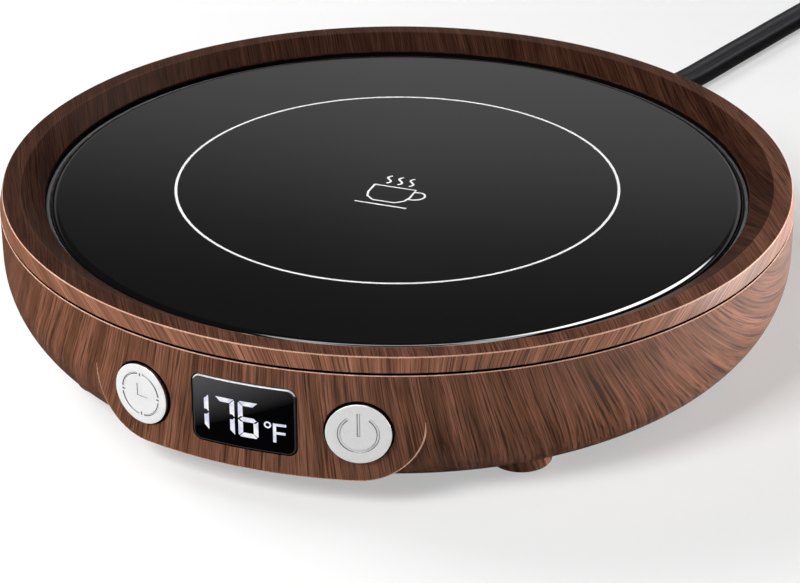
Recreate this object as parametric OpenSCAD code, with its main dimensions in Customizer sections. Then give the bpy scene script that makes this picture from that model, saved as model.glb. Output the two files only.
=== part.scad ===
// Electric mug warmer: a round wood-look housing with a sunken glass hotplate,
// a curved control panel with two push buttons and a display, and a mains lead.
// Origin: centre of the footprint on the resting surface. +Z up, panel towards -Y.

/* [Body] */
// Outer diameter of the housing at the parting line
body_d = 151.2; // [148:0.2:158]
// Height from the resting surface to the top of the rim
body_h = 30; // [29.6:0.2:34]
// Wall thickness of the mouldings
wall = 2.6; // [2.2:0.1:2.8]
// Gap between the underside and the resting surface
foot_h = 2; // [1.8:0.1:3]
// Radius of the round at the bottom of the bowl
bowl_round = 18; // [17:0.5:22]
// Height of that round, up to where the wall stands straight
bowl_rise = 16; // [14:0.5:16.5]

/* [Rim ring] */
// Height of the rim ring above the parting line
rim_h = 3.1; // [2.8:0.1:4]
// Width of the flat band on top of the rim
rim_land = 3.4; // [2.5:0.1:4]
// How much narrower the rim is at its top edge, on each side
rim_draft = 0.6; // [0.2:0.1:1]
// How far the sloping inside face drops
slope_drop = 2.65; // [2:0.05:2.8]
// Width and height of the shadow groove at the parting line
seam = 0.4; // [0.3:0.05:0.6]
// Clearance between the ring's spigot and the housing wall
spigot_gap = 0.15; // [0.1:0.05:0.3]
// Thickness of the ledge under the glass
ledge_t = 1.8; // [1.5:0.1:2.2]

/* [Glass hotplate] */
// Width of the rim, from its outside to the edge of the glass
rim_w = 9.4; // [9.1:0.1:11.6]
// Thickness of the glass
glass_t = 3; // [2.5:0.1:3.5]
// Depth of the glass below the top of the rim
glass_drop = 3; // [2.9:0.1:3.6]
// Gap round the edge of the glass
glass_gap = 0.9; // [0.7:0.1:1.4]
// How far the ledge reaches under the glass
glass_lap = 9.2; // [7:0.1:9.5]
// Thickness of the silicone seal under the glass
seal_t = 0.5; // [0.4:0.1:0.8]

/* [Heater] */
// Clearance between the heat spreader and the ledge
spreader_gap = 3; // [2:0.5:7]
// Thickness of the heat spreader
spreader_t = 2; // [1.5:0.1:2.5]
// How much smaller the mica heater is than the spreader, all round
heater_inset = 4; // [3.5:0.5:8]
// Thickness of the mica heater
heater_t = 0.8; // [0.6:0.1:1.2]
// How much smaller the insulation pad is than the spreader, all round
pad_inset = 2; // [1:0.5:6]
// Thickness of the insulation pad
pad_t = 1.6; // [1.2:0.1:2]
// Thickness of the steel retaining plate
plate_t = 0.8; // [0.6:0.1:1]
// Diameter of the temperature sensor
sensor_d = 4.8; // [4:0.2:6]
// Diameter of the thermal fuse
cutout_d = 3.8; // [3:0.2:4]

/* [Control panel] */
// Width of the panel that stands out from the bowl
panel_w = 61.4; // [58:0.2:66]
// Distance from the middle of the buttons down to the panel's lower edge
panel_drop = 9.6; // [9.5:0.1:9.9]
// Radius of the panel's lower corners
panel_corner = 11; // [9:0.5:12]
// Distance from the ledge under the glass down to the middle of the buttons
control_drop = 6; // [5.9:0.1:6.5]
// Angle of each button from the middle of the panel
button_angle = 15.3; // [14.8:0.1:15.8]
// Diameter of a button
button_d = 11.6; // [10.8:0.1:11.8]
// How far a button stands out of the panel
button_proud = 0.7; // [0.5:0.1:1.2]
// Gap seen round a button
button_gap = 0.3; // [0.2:0.05:0.4]
// Travel of a button
button_travel = 0.4; // [0.3:0.05:0.5]
// Width of the display window
display_w = 19; // [17.5:0.1:19.5]
// Height of the display window
display_h = 12.6; // [11:0.1:12.8]
// Corner radius of the display window
display_corner = 1.6; // [1:0.1:2]
// Height of the middle of the display above the middle of the buttons
display_rise = 0.8; // [0.6:0.1:1]
// How far the display window stands out of the panel
lens_proud = 0.2; // [0.1:0.05:0.3]

/* [Base] */
// Width of the flat ring round the base cover
base_edge = 3.8; // [3.2:0.1:5.4]
// Thickness of the base cover
cover_t = 1.8; // [1.6:0.1:2]
// Distance of the feet's middles inside the outline of the body
foot_inset = 14; // [13.8:0.2:15.4]
// Angle of each foot from the front-to-back line
foot_angle = 40.8; // [39:0.1:42]
// Diameter of a foot
foot_d = 11.4; // [10.6:0.2:11.6]
// Thickness of a rubber foot pad
foot_pad_t = 1.2; // [1:0.1:1.3]
// How far a foot pad stands below its foot
foot_pad_drop = 0.4; // [0.3:0.1:0.6]

/* [Electronics] */
// Length of the main board, left to right
board_l = 68; // [64:1:72]
// Width of the main board, front to back
board_w = 56; // [54:1:60]
// Thickness of the main board
board_t = 1.6; // [1.2:0.1:1.6]
// Height of the main board above the step for the base cover
board_gap = 0.2; // [0.1:0.1:0.6]
// Clearance between the tallest part and the retaining plate
headroom = 1.5; // [1:0.1:3]
// Diameter of the smoothing capacitor
capacitor_d = 8; // [6:0.2:8]
// Distance of the control board's front face inside the wall
control_inset = 13.5; // [13.2:0.1:14]
// Thickness of the control board
control_board_t = 1.2; // [1:0.1:1.6]

/* [Mains lead] */
// Angle of the lead's exit from straight back, towards the right
exit_angle = 10; // [5:1:15]
// Height of the lead's exit above the floor of the bowl
exit_rise = 4.9; // [4.7:0.1:5.4]
// Width of the flat twin lead
cord_w = 7; // [6.6:0.1:7.2]
// Thickness of the flat twin lead
cord_t = 3.5; // [3.2:0.1:3.6]
// Length of the strain relief outside the housing
relief_l = 25; // [22:1:26]
// Length of the plug's grip
plug_l = 24; // [20:1:28]

/* [Hidden] */
$fn = 96;
// Small step past a face, for clean cuts
eps = 0.01;

// Radii of the body
body_r = body_d / 2;
inner_r = body_r - wall;
glass_r = body_r - rim_w;
pocket_r = glass_r + glass_gap;
ledge_r = glass_r - glass_lap;
spreader_r = ledge_r - spreader_gap;
heater_r = spreader_r - heater_inset;
pad_r = spreader_r - pad_inset;
rim_r = body_r - rim_draft;
land_r = rim_r - rim_land;
rim_bevel = 0.25;
spigot_r = inner_r - spigot_gap;

// Levels from the rim down
part_z = body_h - rim_h;
glass_top = body_h - glass_drop;
glass_z = glass_top - glass_t;
seat_z = glass_z - seal_t;
ledge_z = seat_z - ledge_t;
spreader_z = glass_z - spreader_t;
heater_z = spreader_z - heater_t;
pad_z = heater_z - pad_t;
plate_z = pad_z - plate_t;

// Levels from the surface up
floor_z = foot_h + wall;
bowl_z = foot_h + bowl_rise;
cover_top = foot_h + cover_t;
step_t = 2.2;
step_top = cover_top + step_t;
board_z = step_top + board_gap;
board_top = board_z + board_t;
transformer_h = plate_z - board_top - headroom;

// Screws: radii of shank and head, head height, and the clearance round them
fit_gap = 0.05;
m3_r = 1.45;
m3_head_r = 2.6;
m26_r = 1.25;
m26_head_r = 2.3;
m26_head_h = 1.3;
m2_r = 0.95;
m2_head_r = 1.7;
m2_head_h = 1.1;
hole_gap = 0.25;

// Base flange and the step that the cover is screwed to
cover_r = body_r - bowl_round - base_edge;
cover_gap = 0.2;
step_w = 5;
step_in_r = cover_r - step_w;
step_out_r = cover_r + wall;
cover_screw_r = cover_r - 2.4;
cover_boss_h = 2;
standoff_r = 2.6;
board_hole_inset = 4;

// Feet and the case posts above them
foot_x = (body_r - foot_inset) * sin(foot_angle);
foot_y = (body_r - foot_inset) * cos(foot_angle);
foot_r = foot_d / 2;
foot_z = foot_pad_drop;
foot_rim = 1.3;
foot_pad_r = foot_r - foot_rim;
foot_round = 0.8;
post_boss_h = 3;
post_boss_top = floor_z + post_boss_h;
post_r = 3.4;
case_seat_z = foot_z + foot_pad_t + 1.5;
case_screw_l = 13;

// Plate screws and the tabs they hold
plate_edge = 1;
plate_r = spreader_r + plate_edge;
plate_screw_out = 3;
plate_screw_r = ledge_r + plate_screw_out;
plate_screw_angle = 20;
plate_boss_r = 2.8;
tab_w = 9;
centre_hole_r = sensor_d / 2 + 1;
terminal_x = 8;
terminal_y = 13;
wire_r = 0.8;
wire_hole_r = wire_r + 1;

// Panel, window and buttons
control_z = ledge_z - control_drop;
panel_bottom = control_z - panel_drop;
display_z = control_z + display_rise;
control_board_y = inner_r - control_inset;
button_r = button_d / 2;
bore_r = button_r + button_gap;
guide_gap = 0.08;
guide_l = 1.4;
flange_lip = 0.6;
flange_r = button_r + guide_gap + flange_lip;
flange_t = 1;
flange_clear = 0.4;
flange_top = control_drop - flange_clear;
flange_back_gap = 0.3;
flange_front = sqrt(inner_r * inner_r - flange_r * flange_r) - flange_back_gap;
cap_t = 1.6;
cap_bevel = 0.18;
cap_face = body_r + button_proud;
cap_back = cap_face - cap_t;
engrave = 0.15;
icon_line = 0.4;
clock_r = 4.1;
clock_mark_l = 0.7;
clock_hand_l = 2.4;
clock_hand_w = 0.8;
power_r = 3.6;
power_bar_w = 0.55;
power_bar_l = 4.4;
power_bar_low = -0.4;
power_opening = 32;
pin_r = 2.5;
pin_gap = 1;
switch_h = 3.4;
switch_side = 6;
plunger_spare = 0.6;
plunger_out = button_travel + plunger_spare;
plunger_in = 0.5;
plunger_floor = 0.3;
plunger_r = 1.7;
plunger_gap = 0.25;
plunger_top = control_board_y + switch_h + plunger_out;
tip_centre = (plunger_top + pin_r) / cos(button_angle);
switch_x = tip_centre * sin(button_angle);
lens_gap = 0.2;
lens_lip = 1.2;
lens_lip_t = 1.2;
lens_back = inner_r + 0.1;

// Display, light guide, control board and bracket
module_w = 16.8;
module_h = 9;
module_d = 7.3;
module_gap = 0.7;
module_play = 0.2;
module_z = min(display_z, ledge_z - module_gap - module_h / 2);
module_front = control_board_y + module_d;
control_post_r = 1.9;
control_post_gap = 0.3;
control_post_x = switch_x + switch_side / 2 + control_post_r + control_post_gap;
control_edge = 0.3;
control_w = 2 * (control_post_x + control_post_r + control_edge);
control_down = 4.7;
control_gap = 0.5;
control_low = control_z - control_down;
control_high = ledge_z - control_gap;
bracket_side = 0.6;
bracket_w = control_w - 2 * bracket_side;
bracket_t = 1.5;
bracket_space = 5;
bracket_y = control_board_y + bracket_space;
bracket_skirt = 1.8;
bracket_low = control_low - bracket_skirt;
bracket_boss_r = 2.8;
bracket_bite = 3.5;
shelf_t = 1.4;
shelf_l = 7;
shelf_end = control_board_y - shelf_l;
shelf_x = 10;
shelf_w = 7;
bracket_screw_y = control_board_y - 4 * shelf_w / 7;
control_post_low = control_low + control_post_r;
control_post_high = control_high - control_post_r;
control_bite = 4;

// Lead: strain relief, clamp and the stretch inside
exit_z = floor_z + exit_rise;
relief_wall_w = 2.8;
relief_wall_t = 2.1;
relief_tip_w = 0.8;
relief_tip_t = 0.7;
relief_root_w = cord_w + 2 * relief_wall_w;
relief_root_t = cord_t + 2 * relief_wall_t;
relief_lip = 0.7;
relief_end_w = cord_w + 2 * relief_tip_w;
relief_end_t = cord_t + 2 * relief_tip_t;
relief_in = 10.2;
relief_neck = 2.4;
relief_start = body_r - relief_neck;
relief_end = relief_start + relief_l;
relief_hole_gap = 0.1;
pad_block_w = 22;
pad_block_y = relief_start - relief_in;
pad_block_h = 11;
relief_flange_t = 2;
clamp_back = 9;
clamp_y = pad_block_y - clamp_back;
clamp_l = 5;
clamp_side = 4.6;
clamp_end = 3;
clamp_screw_x = cord_w / 2 + clamp_side;
clamp_w = 2 * (clamp_screw_x + clamp_end);
clamp_t = 1.8;
clamp_boss_r = 2.5;
clamp_bite = 4;
terminal_overhang = 2;
terminal_back = board_w / 2 + terminal_overhang;
terminal_l = 10;
terminal_w = 12;
terminal_gap = 0.5;
terminal_h = transformer_h - terminal_gap;

// Route of the lead on the surface, from the strain relief to the coil:
// distance right of the relief's end, distance behind it, and height
relief_tip = [relief_end * sin(exit_angle), relief_end * cos(exit_angle), exit_z];
lead_route = [[0.75, 3.8, 9.2], [1.75, 9.6, 7.9], [3.25, 15.4, 5.8], [4.85, 21.2, 3.7],
              [6.65, 27.2, 2.3], [8.55, 33.3, 1.8], [11.55, 42.8, 1.75], [14.45, 52.3, 1.75],
              [17.45, 61.8, 1.75], [20.35, 71.3, 1.75], [23.35, 80.8, 1.75],
              [26.35, 90.3, 1.75], [29.35, 99.8, 1.8], [32.25, 109.3, 2],
              [34.35, 115.6, 2.2], [36.25, 121.8, 2.3]];
lead_points = concat([relief_tip], [for (p = lead_route) routed(p)]);
// Coil: centre, middle radius of its turns, turns side by side and layers
coil_right = 79.95;
coil_behind = 108.3;
coil_x = relief_tip[0] + coil_right;
coil_y = relief_tip[1] + coil_behind;
coil_mid_r = 38.5;
coil_columns = 3;
coil_layers = 2;
coil_lift = 0.5;
turn_gap = 0.1;
coil_half_w = coil_columns * (cord_w + turn_gap) / 2;
coil_in_r = coil_mid_r - coil_half_w;
coil_out_r = coil_mid_r + coil_half_w;
coil_h = coil_layers * (cord_t + turn_gap);
// Route from the coil's upper layer to the plug
tail_route = [[123.45, 94.7, 5.9], [121.75, 89, 5.9], [120.05, 83.3, 5.9], [118.45, 77.5, 6],
              [116.85, 71.7, 6], [115.25, 65.9, 6], [113.65, 60.1, 6]];
tail_points = [for (p = tail_route) routed(p)];
// Tie round the coil
tie_angle = 60;
tie_w = 9;
tie_t = 0.45;
// Plug: where the lead enters it, its heading and its sizes
plug_at = tail_points[6];
plug_turn = 164.5;
plug_w = 21;
plug_t = 12;
plug_nose_l = 15;
blade_gap = 12.7;
blade_w = 6.35;
blade_t = 1.5;
blade_l = 17;
blade_hole_r = 1.6;
blade_hole_y = 12.5;
plug_round = 3.5;
plug_flare_w = 1.5;
plug_flare_t = 1.9;

// Colours
walnut = [0.36, 0.22, 0.16];
black_plastic = [0.06, 0.06, 0.07];
rubber_black = [0.04, 0.04, 0.045];
steel = [0.72, 0.73, 0.75];
board_green = [0.05, 0.3, 0.16];

// ---------------------------------------------------------------- helpers

// Solid of revolution of the bowl, round at the bottom and straight above
module bowl(r, round_r, low, high) {
    rotate_extrude()
        intersection() {
            union() {
                translate([r - round_r, bowl_z])
                    circle(round_r);
                translate([r - round_r, bowl_z])
                    square([round_r, high - bowl_z]);
                square([r - round_r, high]);
            }
            translate([0, low])
                square([r, high - low]);
        }
}

// Flat shape with round ends, w wide and t thick
module stadium(w, t) {
    square([w - t, t], center = true);
    for (side = [-1, 1])
        translate([side * (w - t) / 2, 0])
            circle(t / 2);
}

// Rectangle with round corners, centred
module round_rect(w, h, r) {
    square([w - 2 * r, h], center = true);
    square([w, h - 2 * r], center = true);
    for (x = [-1, 1], y = [-1, 1])
        translate([x * (w / 2 - r), y * (h / 2 - r)])
            circle(r);
}

// Pan-head screw that points up, its head's underside at z = 0
module screw(shank_r, shank_l, head_r, head_h) {
    difference() {
        union() {
            cylinder(r = shank_r, h = shank_l, $fn = 32);
            translate([0, 0, -head_h])
                cylinder(r = head_r, h = head_h, $fn = 40);
        }
        for (turn = [0, 90])
            rotate([0, 0, turn])
                translate([-head_r * 0.6, -head_r * 0.12, -head_h - eps])
                    cube([head_r * 1.2, head_r * 0.24, head_h * 0.45]);
    }
}

// Puts its children at one button: local +Z points out of the panel
module at_button(side) {
    rotate([0, 0, side * button_angle])
        translate([0, 0, control_z])
            rotate([90, 0, 0])
                children();
}

// Puts its children at the window: local X across, local Y up, local +Z out
module at_window(height) {
    translate([0, 0, height])
        rotate([90, 0, 0])
            children();
}

// Turns its children from straight back to the lead's exit
module at_exit() {
    rotate([0, 0, -exit_angle])
        children();
}

// Runs a flat outline back along the exit's direction, from one radius to another
module along_exit(from, to) {
    at_exit()
        translate([0, from, exit_z])
            rotate([90, 0, 0])
                mirror([0, 0, 1])
                    linear_extrude(to - from)
                        children();
}

module at_feet() {
    for (x = [-1, 1], y = [-1, 1])
        translate([x * foot_x, y * foot_y, 0])
            children();
}

module at_plate_screws() {
    for (turn = [plate_screw_angle, 180 - plate_screw_angle,
                 180 + plate_screw_angle, -plate_screw_angle])
        rotate([0, 0, turn])
            translate([plate_screw_r, 0, 0])
                children();
}

module at_cover_screws() {
    for (turn = [0 : 60 : 300])
        rotate([0, 0, turn])
            translate([cover_screw_r, 0, 0])
                children();
}

module at_board_screws() {
    for (x = [-1, 1], y = [-1, 1])
        translate([x * (board_l / 2 - board_hole_inset),
                   y * (board_w / 2 - board_hole_inset), 0])
            children();
}

module at_control_posts() {
    for (x = [-1, 1], z = [control_post_low, control_post_high])
        translate([x * control_post_x, 0, z])
            children();
}

// ------------------------------------------------- a lead swept along a route

// Point of a route, given from the end of the strain relief
function routed(p) = [relief_tip[0] + p[0], relief_tip[1] + p[1], p[2]];

// Direction of a route at point i, level side and upward normal there
function unit(v) = v / norm(v);
function heading(p, i) =
    unit(p[min(i + 1, len(p) - 1)] - p[max(i - 1, 0)]);
function side_of(d) = unit([d[1], -d[0], 0]);
function ring(p, i, w, t, n) =
    let (d = heading(p, i), s = side_of(d), u = cross(s, d))
    [for (k = [0 : n - 1])
        p[i] + s * (w / 2) * cos(360 * k / n) + u * (t / 2) * sin(360 * k / n)];

module swept(p, w, t, n) {
    count = len(p);
    points = [for (i = [0 : count - 1]) each ring(p, i, w, t, n)];
    sides = [for (i = [0 : count - 2], k = [0 : n - 1])
        [i * n + k, i * n + (k + 1) % n, (i + 1) * n + (k + 1) % n, (i + 1) * n + k]];
    first = [[for (k = [0 : n - 1]) n - 1 - k]];
    last = [[for (k = [0 : n - 1]) (count - 1) * n + k]];
    polyhedron(points, concat(sides, first, last), convexity = 4);
}

// A round wire along points in space
function wire_ring(p, i, r, n) =
    let (d = heading(p, i), a = abs(d[0]) < 0.9 ? [1, 0, 0] : [0, 1, 0],
         s = unit(cross(d, a)), u = cross(s, d))
    [for (k = [0 : n - 1])
        p[i] + s * r * cos(360 * k / n) + u * r * sin(360 * k / n)];

module wire(p, r, n = 8) {
    count = len(p);
    points = [for (i = [0 : count - 1]) each wire_ring(p, i, r, n)];
    sides = [for (i = [0 : count - 2], k = [0 : n - 1])
        [i * n + k, i * n + (k + 1) % n, (i + 1) * n + (k + 1) % n, (i + 1) * n + k]];
    first = [[for (k = [0 : n - 1]) n - 1 - k]];
    last = [[for (k = [0 : n - 1]) (count - 1) * n + k]];
    polyhedron(points, concat(sides, first, last), convexity = 4);
}

// ---------------------------------------------------------- rim and hotplate

// Rim ring: land, sloping inside face, glass pocket, ledge, spigot and posts
module top_ring() {
    color(walnut)
        difference() {
            union() {
                rotate_extrude()
                    polygon([[rim_r - rim_bevel, body_h], [rim_r, body_h - rim_bevel],
                             [body_r, part_z + seam], [body_r - seam, part_z + seam],
                             [body_r - seam, part_z], [spigot_r, part_z],
                             [spigot_r, ledge_z], [ledge_r, ledge_z],
                             [ledge_r, seat_z], [pocket_r, seat_z],
                             [pocket_r, body_h - slope_drop], [land_r, body_h]]);
                at_feet()
                    translate([0, 0, post_boss_top])
                        cylinder(r = post_r, h = ledge_z - post_boss_top + eps, $fn = 48);
                at_plate_screws()
                    translate([0, 0, pad_z])
                        cylinder(r = plate_boss_r, h = ledge_z - pad_z + eps, $fn = 48);
            }
            at_feet()
                translate([0, 0, post_boss_top - eps])
                    cylinder(r = m3_r + fit_gap, h = case_screw_l - post_boss_h, $fn = 32);
            at_plate_screws()
                translate([0, 0, pad_z - eps])
                    cylinder(r = m2_r + fit_gap, h = ledge_z - pad_z + ledge_t * 0.6, $fn = 32);
        }
}

// Silicone seal: a lip up the edge of the glass and a flat web under it
module glass_seal() {
    lip_gap = 0.1;
    lip_top = glass_top - 0.7;
    web_r = ledge_r + 0.4;
    color(rubber_black)
        rotate_extrude()
            polygon([[web_r, seat_z], [pocket_r - lip_gap, seat_z],
                     [pocket_r - lip_gap, lip_top], [glass_r + lip_gap, lip_top],
                     [glass_r + lip_gap, glass_z], [web_r, glass_z]]);
}

// Glass disc with a rounded top edge
module glass_plate() {
    edge = 0.8;
    color([0.03, 0.03, 0.035])
        rotate_extrude()
            difference() {
                union() {
                    translate([0, glass_z])
                        square([glass_r, glass_t - edge]);
                    translate([0, glass_z])
                        square([glass_r - edge, glass_t]);
                    translate([glass_r - edge, glass_top - edge])
                        circle(edge);
                }
                translate([-glass_r, glass_z])
                    square([glass_r, glass_t]);
            }
}

module heat_spreader() {
    color([0.8, 0.81, 0.83])
        translate([0, 0, spreader_z])
            cylinder(r = spreader_r, h = spreader_t);
}

module mica_heater() {
    color([0.72, 0.66, 0.5])
        difference() {
            translate([0, 0, heater_z])
                cylinder(r = heater_r, h = heater_t);
            translate([0, 0, heater_z - eps])
                cylinder(r = centre_hole_r, h = heater_t + 2 * eps, $fn = 48);
        }
}

module insulation_pad() {
    color([0.9, 0.89, 0.85])
        difference() {
            translate([0, 0, pad_z])
                cylinder(r = pad_r, h = pad_t);
            translate([0, 0, pad_z - eps])
                cylinder(r = centre_hole_r, h = pad_t + 2 * eps, $fn = 48);
            for (x = [-1, 1])
                translate([x * terminal_x, terminal_y, pad_z - eps])
                    cylinder(r = wire_hole_r, h = pad_t + 2 * eps, $fn = 32);
        }
}

// Steel plate that clamps the heater stack up against the glass
module retaining_plate() {
    color(steel)
        difference() {
            translate([0, 0, plate_z])
                linear_extrude(plate_t) {
                    circle(plate_r);
                    for (turn = [plate_screw_angle, 180 - plate_screw_angle,
                                 180 + plate_screw_angle, -plate_screw_angle])
                        rotate(turn)
                            translate([plate_r - 4, -tab_w / 2])
                                square([plate_screw_r + plate_boss_r - plate_r + 4, tab_w]);
                }
            translate([0, 0, plate_z - eps])
                cylinder(r = centre_hole_r, h = plate_t + 2 * eps, $fn = 48);
            for (x = [-1, 1])
                translate([x * terminal_x, terminal_y, plate_z - eps])
                    cylinder(r = wire_hole_r, h = plate_t + 2 * eps, $fn = 32);
            at_plate_screws()
                translate([0, 0, plate_z - eps])
                    cylinder(r = m2_r + hole_gap, h = plate_t + 2 * eps, $fn = 32);
        }
}

module plate_screws() {
    color(steel)
        at_plate_screws()
            translate([0, 0, plate_z])
                screw(m2_r, plate_t + ledge_z - pad_z + ledge_t * 0.5, m2_head_r, m2_head_h);
}

// Thermistor capsule, pressed against the heat spreader through the stack
sensor_l = 5;
sensor_z = spreader_z - sensor_l;
clip_t = 0.6;
clip_half = 10;
clip_w = 5;
module sensor() {
    color([0.85, 0.85, 0.82])
        translate([0, 0, sensor_z])
            cylinder(d = sensor_d, h = sensor_l, $fn = 48);
}

// Spring-steel strap under the capsule, its feet riveted to the retaining plate
module sensor_clip() {
    rise = plate_z - sensor_z;
    color(steel) {
        translate([-clip_half + 3, -clip_w / 2, sensor_z - clip_t])
            cube([2 * clip_half - 6, clip_w, clip_t]);
        for (x = [-1, 1]) {
            translate([x * (clip_half - 3) - clip_t / 2, -clip_w / 2, sensor_z - clip_t])
                cube([clip_t, clip_w, rise + clip_t]);
            translate([x * (clip_half - 1.5) - 1.5 - clip_t / 2, -clip_w / 2, plate_z - clip_t])
                cube([3 + clip_t, clip_w, clip_t]);
        }
    }
}

// Two fine leads from the capsule down to the main board
module sensor_wires() {
    out = sensor_d / 2;
    color([0.8, 0.75, 0.2])
        for (x = [-1, 1])
            wire([[x * 0.9, out + 0.05, sensor_z + 0.9], [x * 1, out + 2, sensor_z + 0.7],
                  [x * 1.2, out + 4, sensor_z - 0.8], [x * 1.3, out + 5, sensor_z - 3.5],
                  [x * 1.3, out + 5.2, board_top]], 0.45);
}

// Axial thermal fuse held under the retaining plate
cutout_y = -20;
cutout_l = 11;
cutout_z = plate_z - 0.5 - cutout_d / 2;
module thermal_fuse() {
    color([0.85, 0.82, 0.74]) {
        translate([-cutout_l / 2, cutout_y, cutout_z])
            rotate([0, 90, 0])
                cylinder(d = cutout_d, h = cutout_l, $fn = 48);
        translate([-cutout_l / 2 - 7, cutout_y, cutout_z])
            rotate([0, 90, 0])
                cylinder(r = 0.5, h = cutout_l + 14, $fn = 24);
    }
}

module fuse_clip() {
    band = 4;
    clip_r = cutout_d / 2 + fit_gap;
    color(steel)
        difference() {
            union() {
                translate([-band / 2, cutout_y, cutout_z])
                    rotate([0, 90, 0])
                        cylinder(r = clip_r + 0.4, h = band, $fn = 48);
                translate([-band / 2, cutout_y, plate_z - 0.5])
                    cube([band, clip_r + 5, 0.5]);
            }
            translate([-band, cutout_y, cutout_z])
                rotate([0, 90, 0])
                    cylinder(r = clip_r, h = 2 * band, $fn = 48);
        }
}

// Two sleeved leads from the mica heater down to the main board
module heater_wires() {
    color([0.75, 0.72, 0.68])
        for (x = [-1, 1])
            wire([[x * terminal_x, terminal_y, heater_z],
                  [x * terminal_x, terminal_y, plate_z - 1],
                  [x * terminal_x, terminal_y - 1, plate_z - 4],
                  [x * terminal_x, terminal_y - 4, board_top + 4],
                  [x * terminal_x, terminal_y - 5, board_top + 2],
                  [x * terminal_x, terminal_y - 5, board_top]], wire_r);
}

// ------------------------------------------------------- housing and base

// Outline of the panel, seen from the front, shrunk by an inset
module panel_outline(inset) {
    low = panel_bottom + inset;
    half = panel_w / 2 - inset;
    corner = panel_corner - inset;
    translate([-half, low + corner])
        square([2 * half, part_z - 1 - low - corner]);
    translate([-half + corner, low])
        square([2 * (half - corner), corner + eps]);
    for (side = [-1, 1])
        translate([side * (half - corner), low + corner])
            circle(corner);
}

module panel_block(r, inset) {
    intersection() {
        rotate([90, 0, 0])
            linear_extrude(body_d)
                panel_outline(inset);
        cylinder(r = r, h = part_z);
        translate([-body_r, -body_d, 0])
            cube([body_d, body_d - body_r * 0.6, part_z]);
    }
}

// One foot with a round lower edge
module foot_body() {
    top = floor_z - 0.6;
    rotate_extrude($fn = 64)
        intersection() {
            union() {
                translate([foot_r - foot_round, foot_z + foot_round])
                    circle(foot_round, $fn = 32);
                translate([0, foot_z + foot_round])
                    square([foot_r, top - foot_z - foot_round]);
                translate([0, foot_z])
                    square([foot_r - foot_round, foot_round + eps]);
            }
            translate([0, foot_z])
                square([foot_r, top - foot_z]);
        }
}

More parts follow.
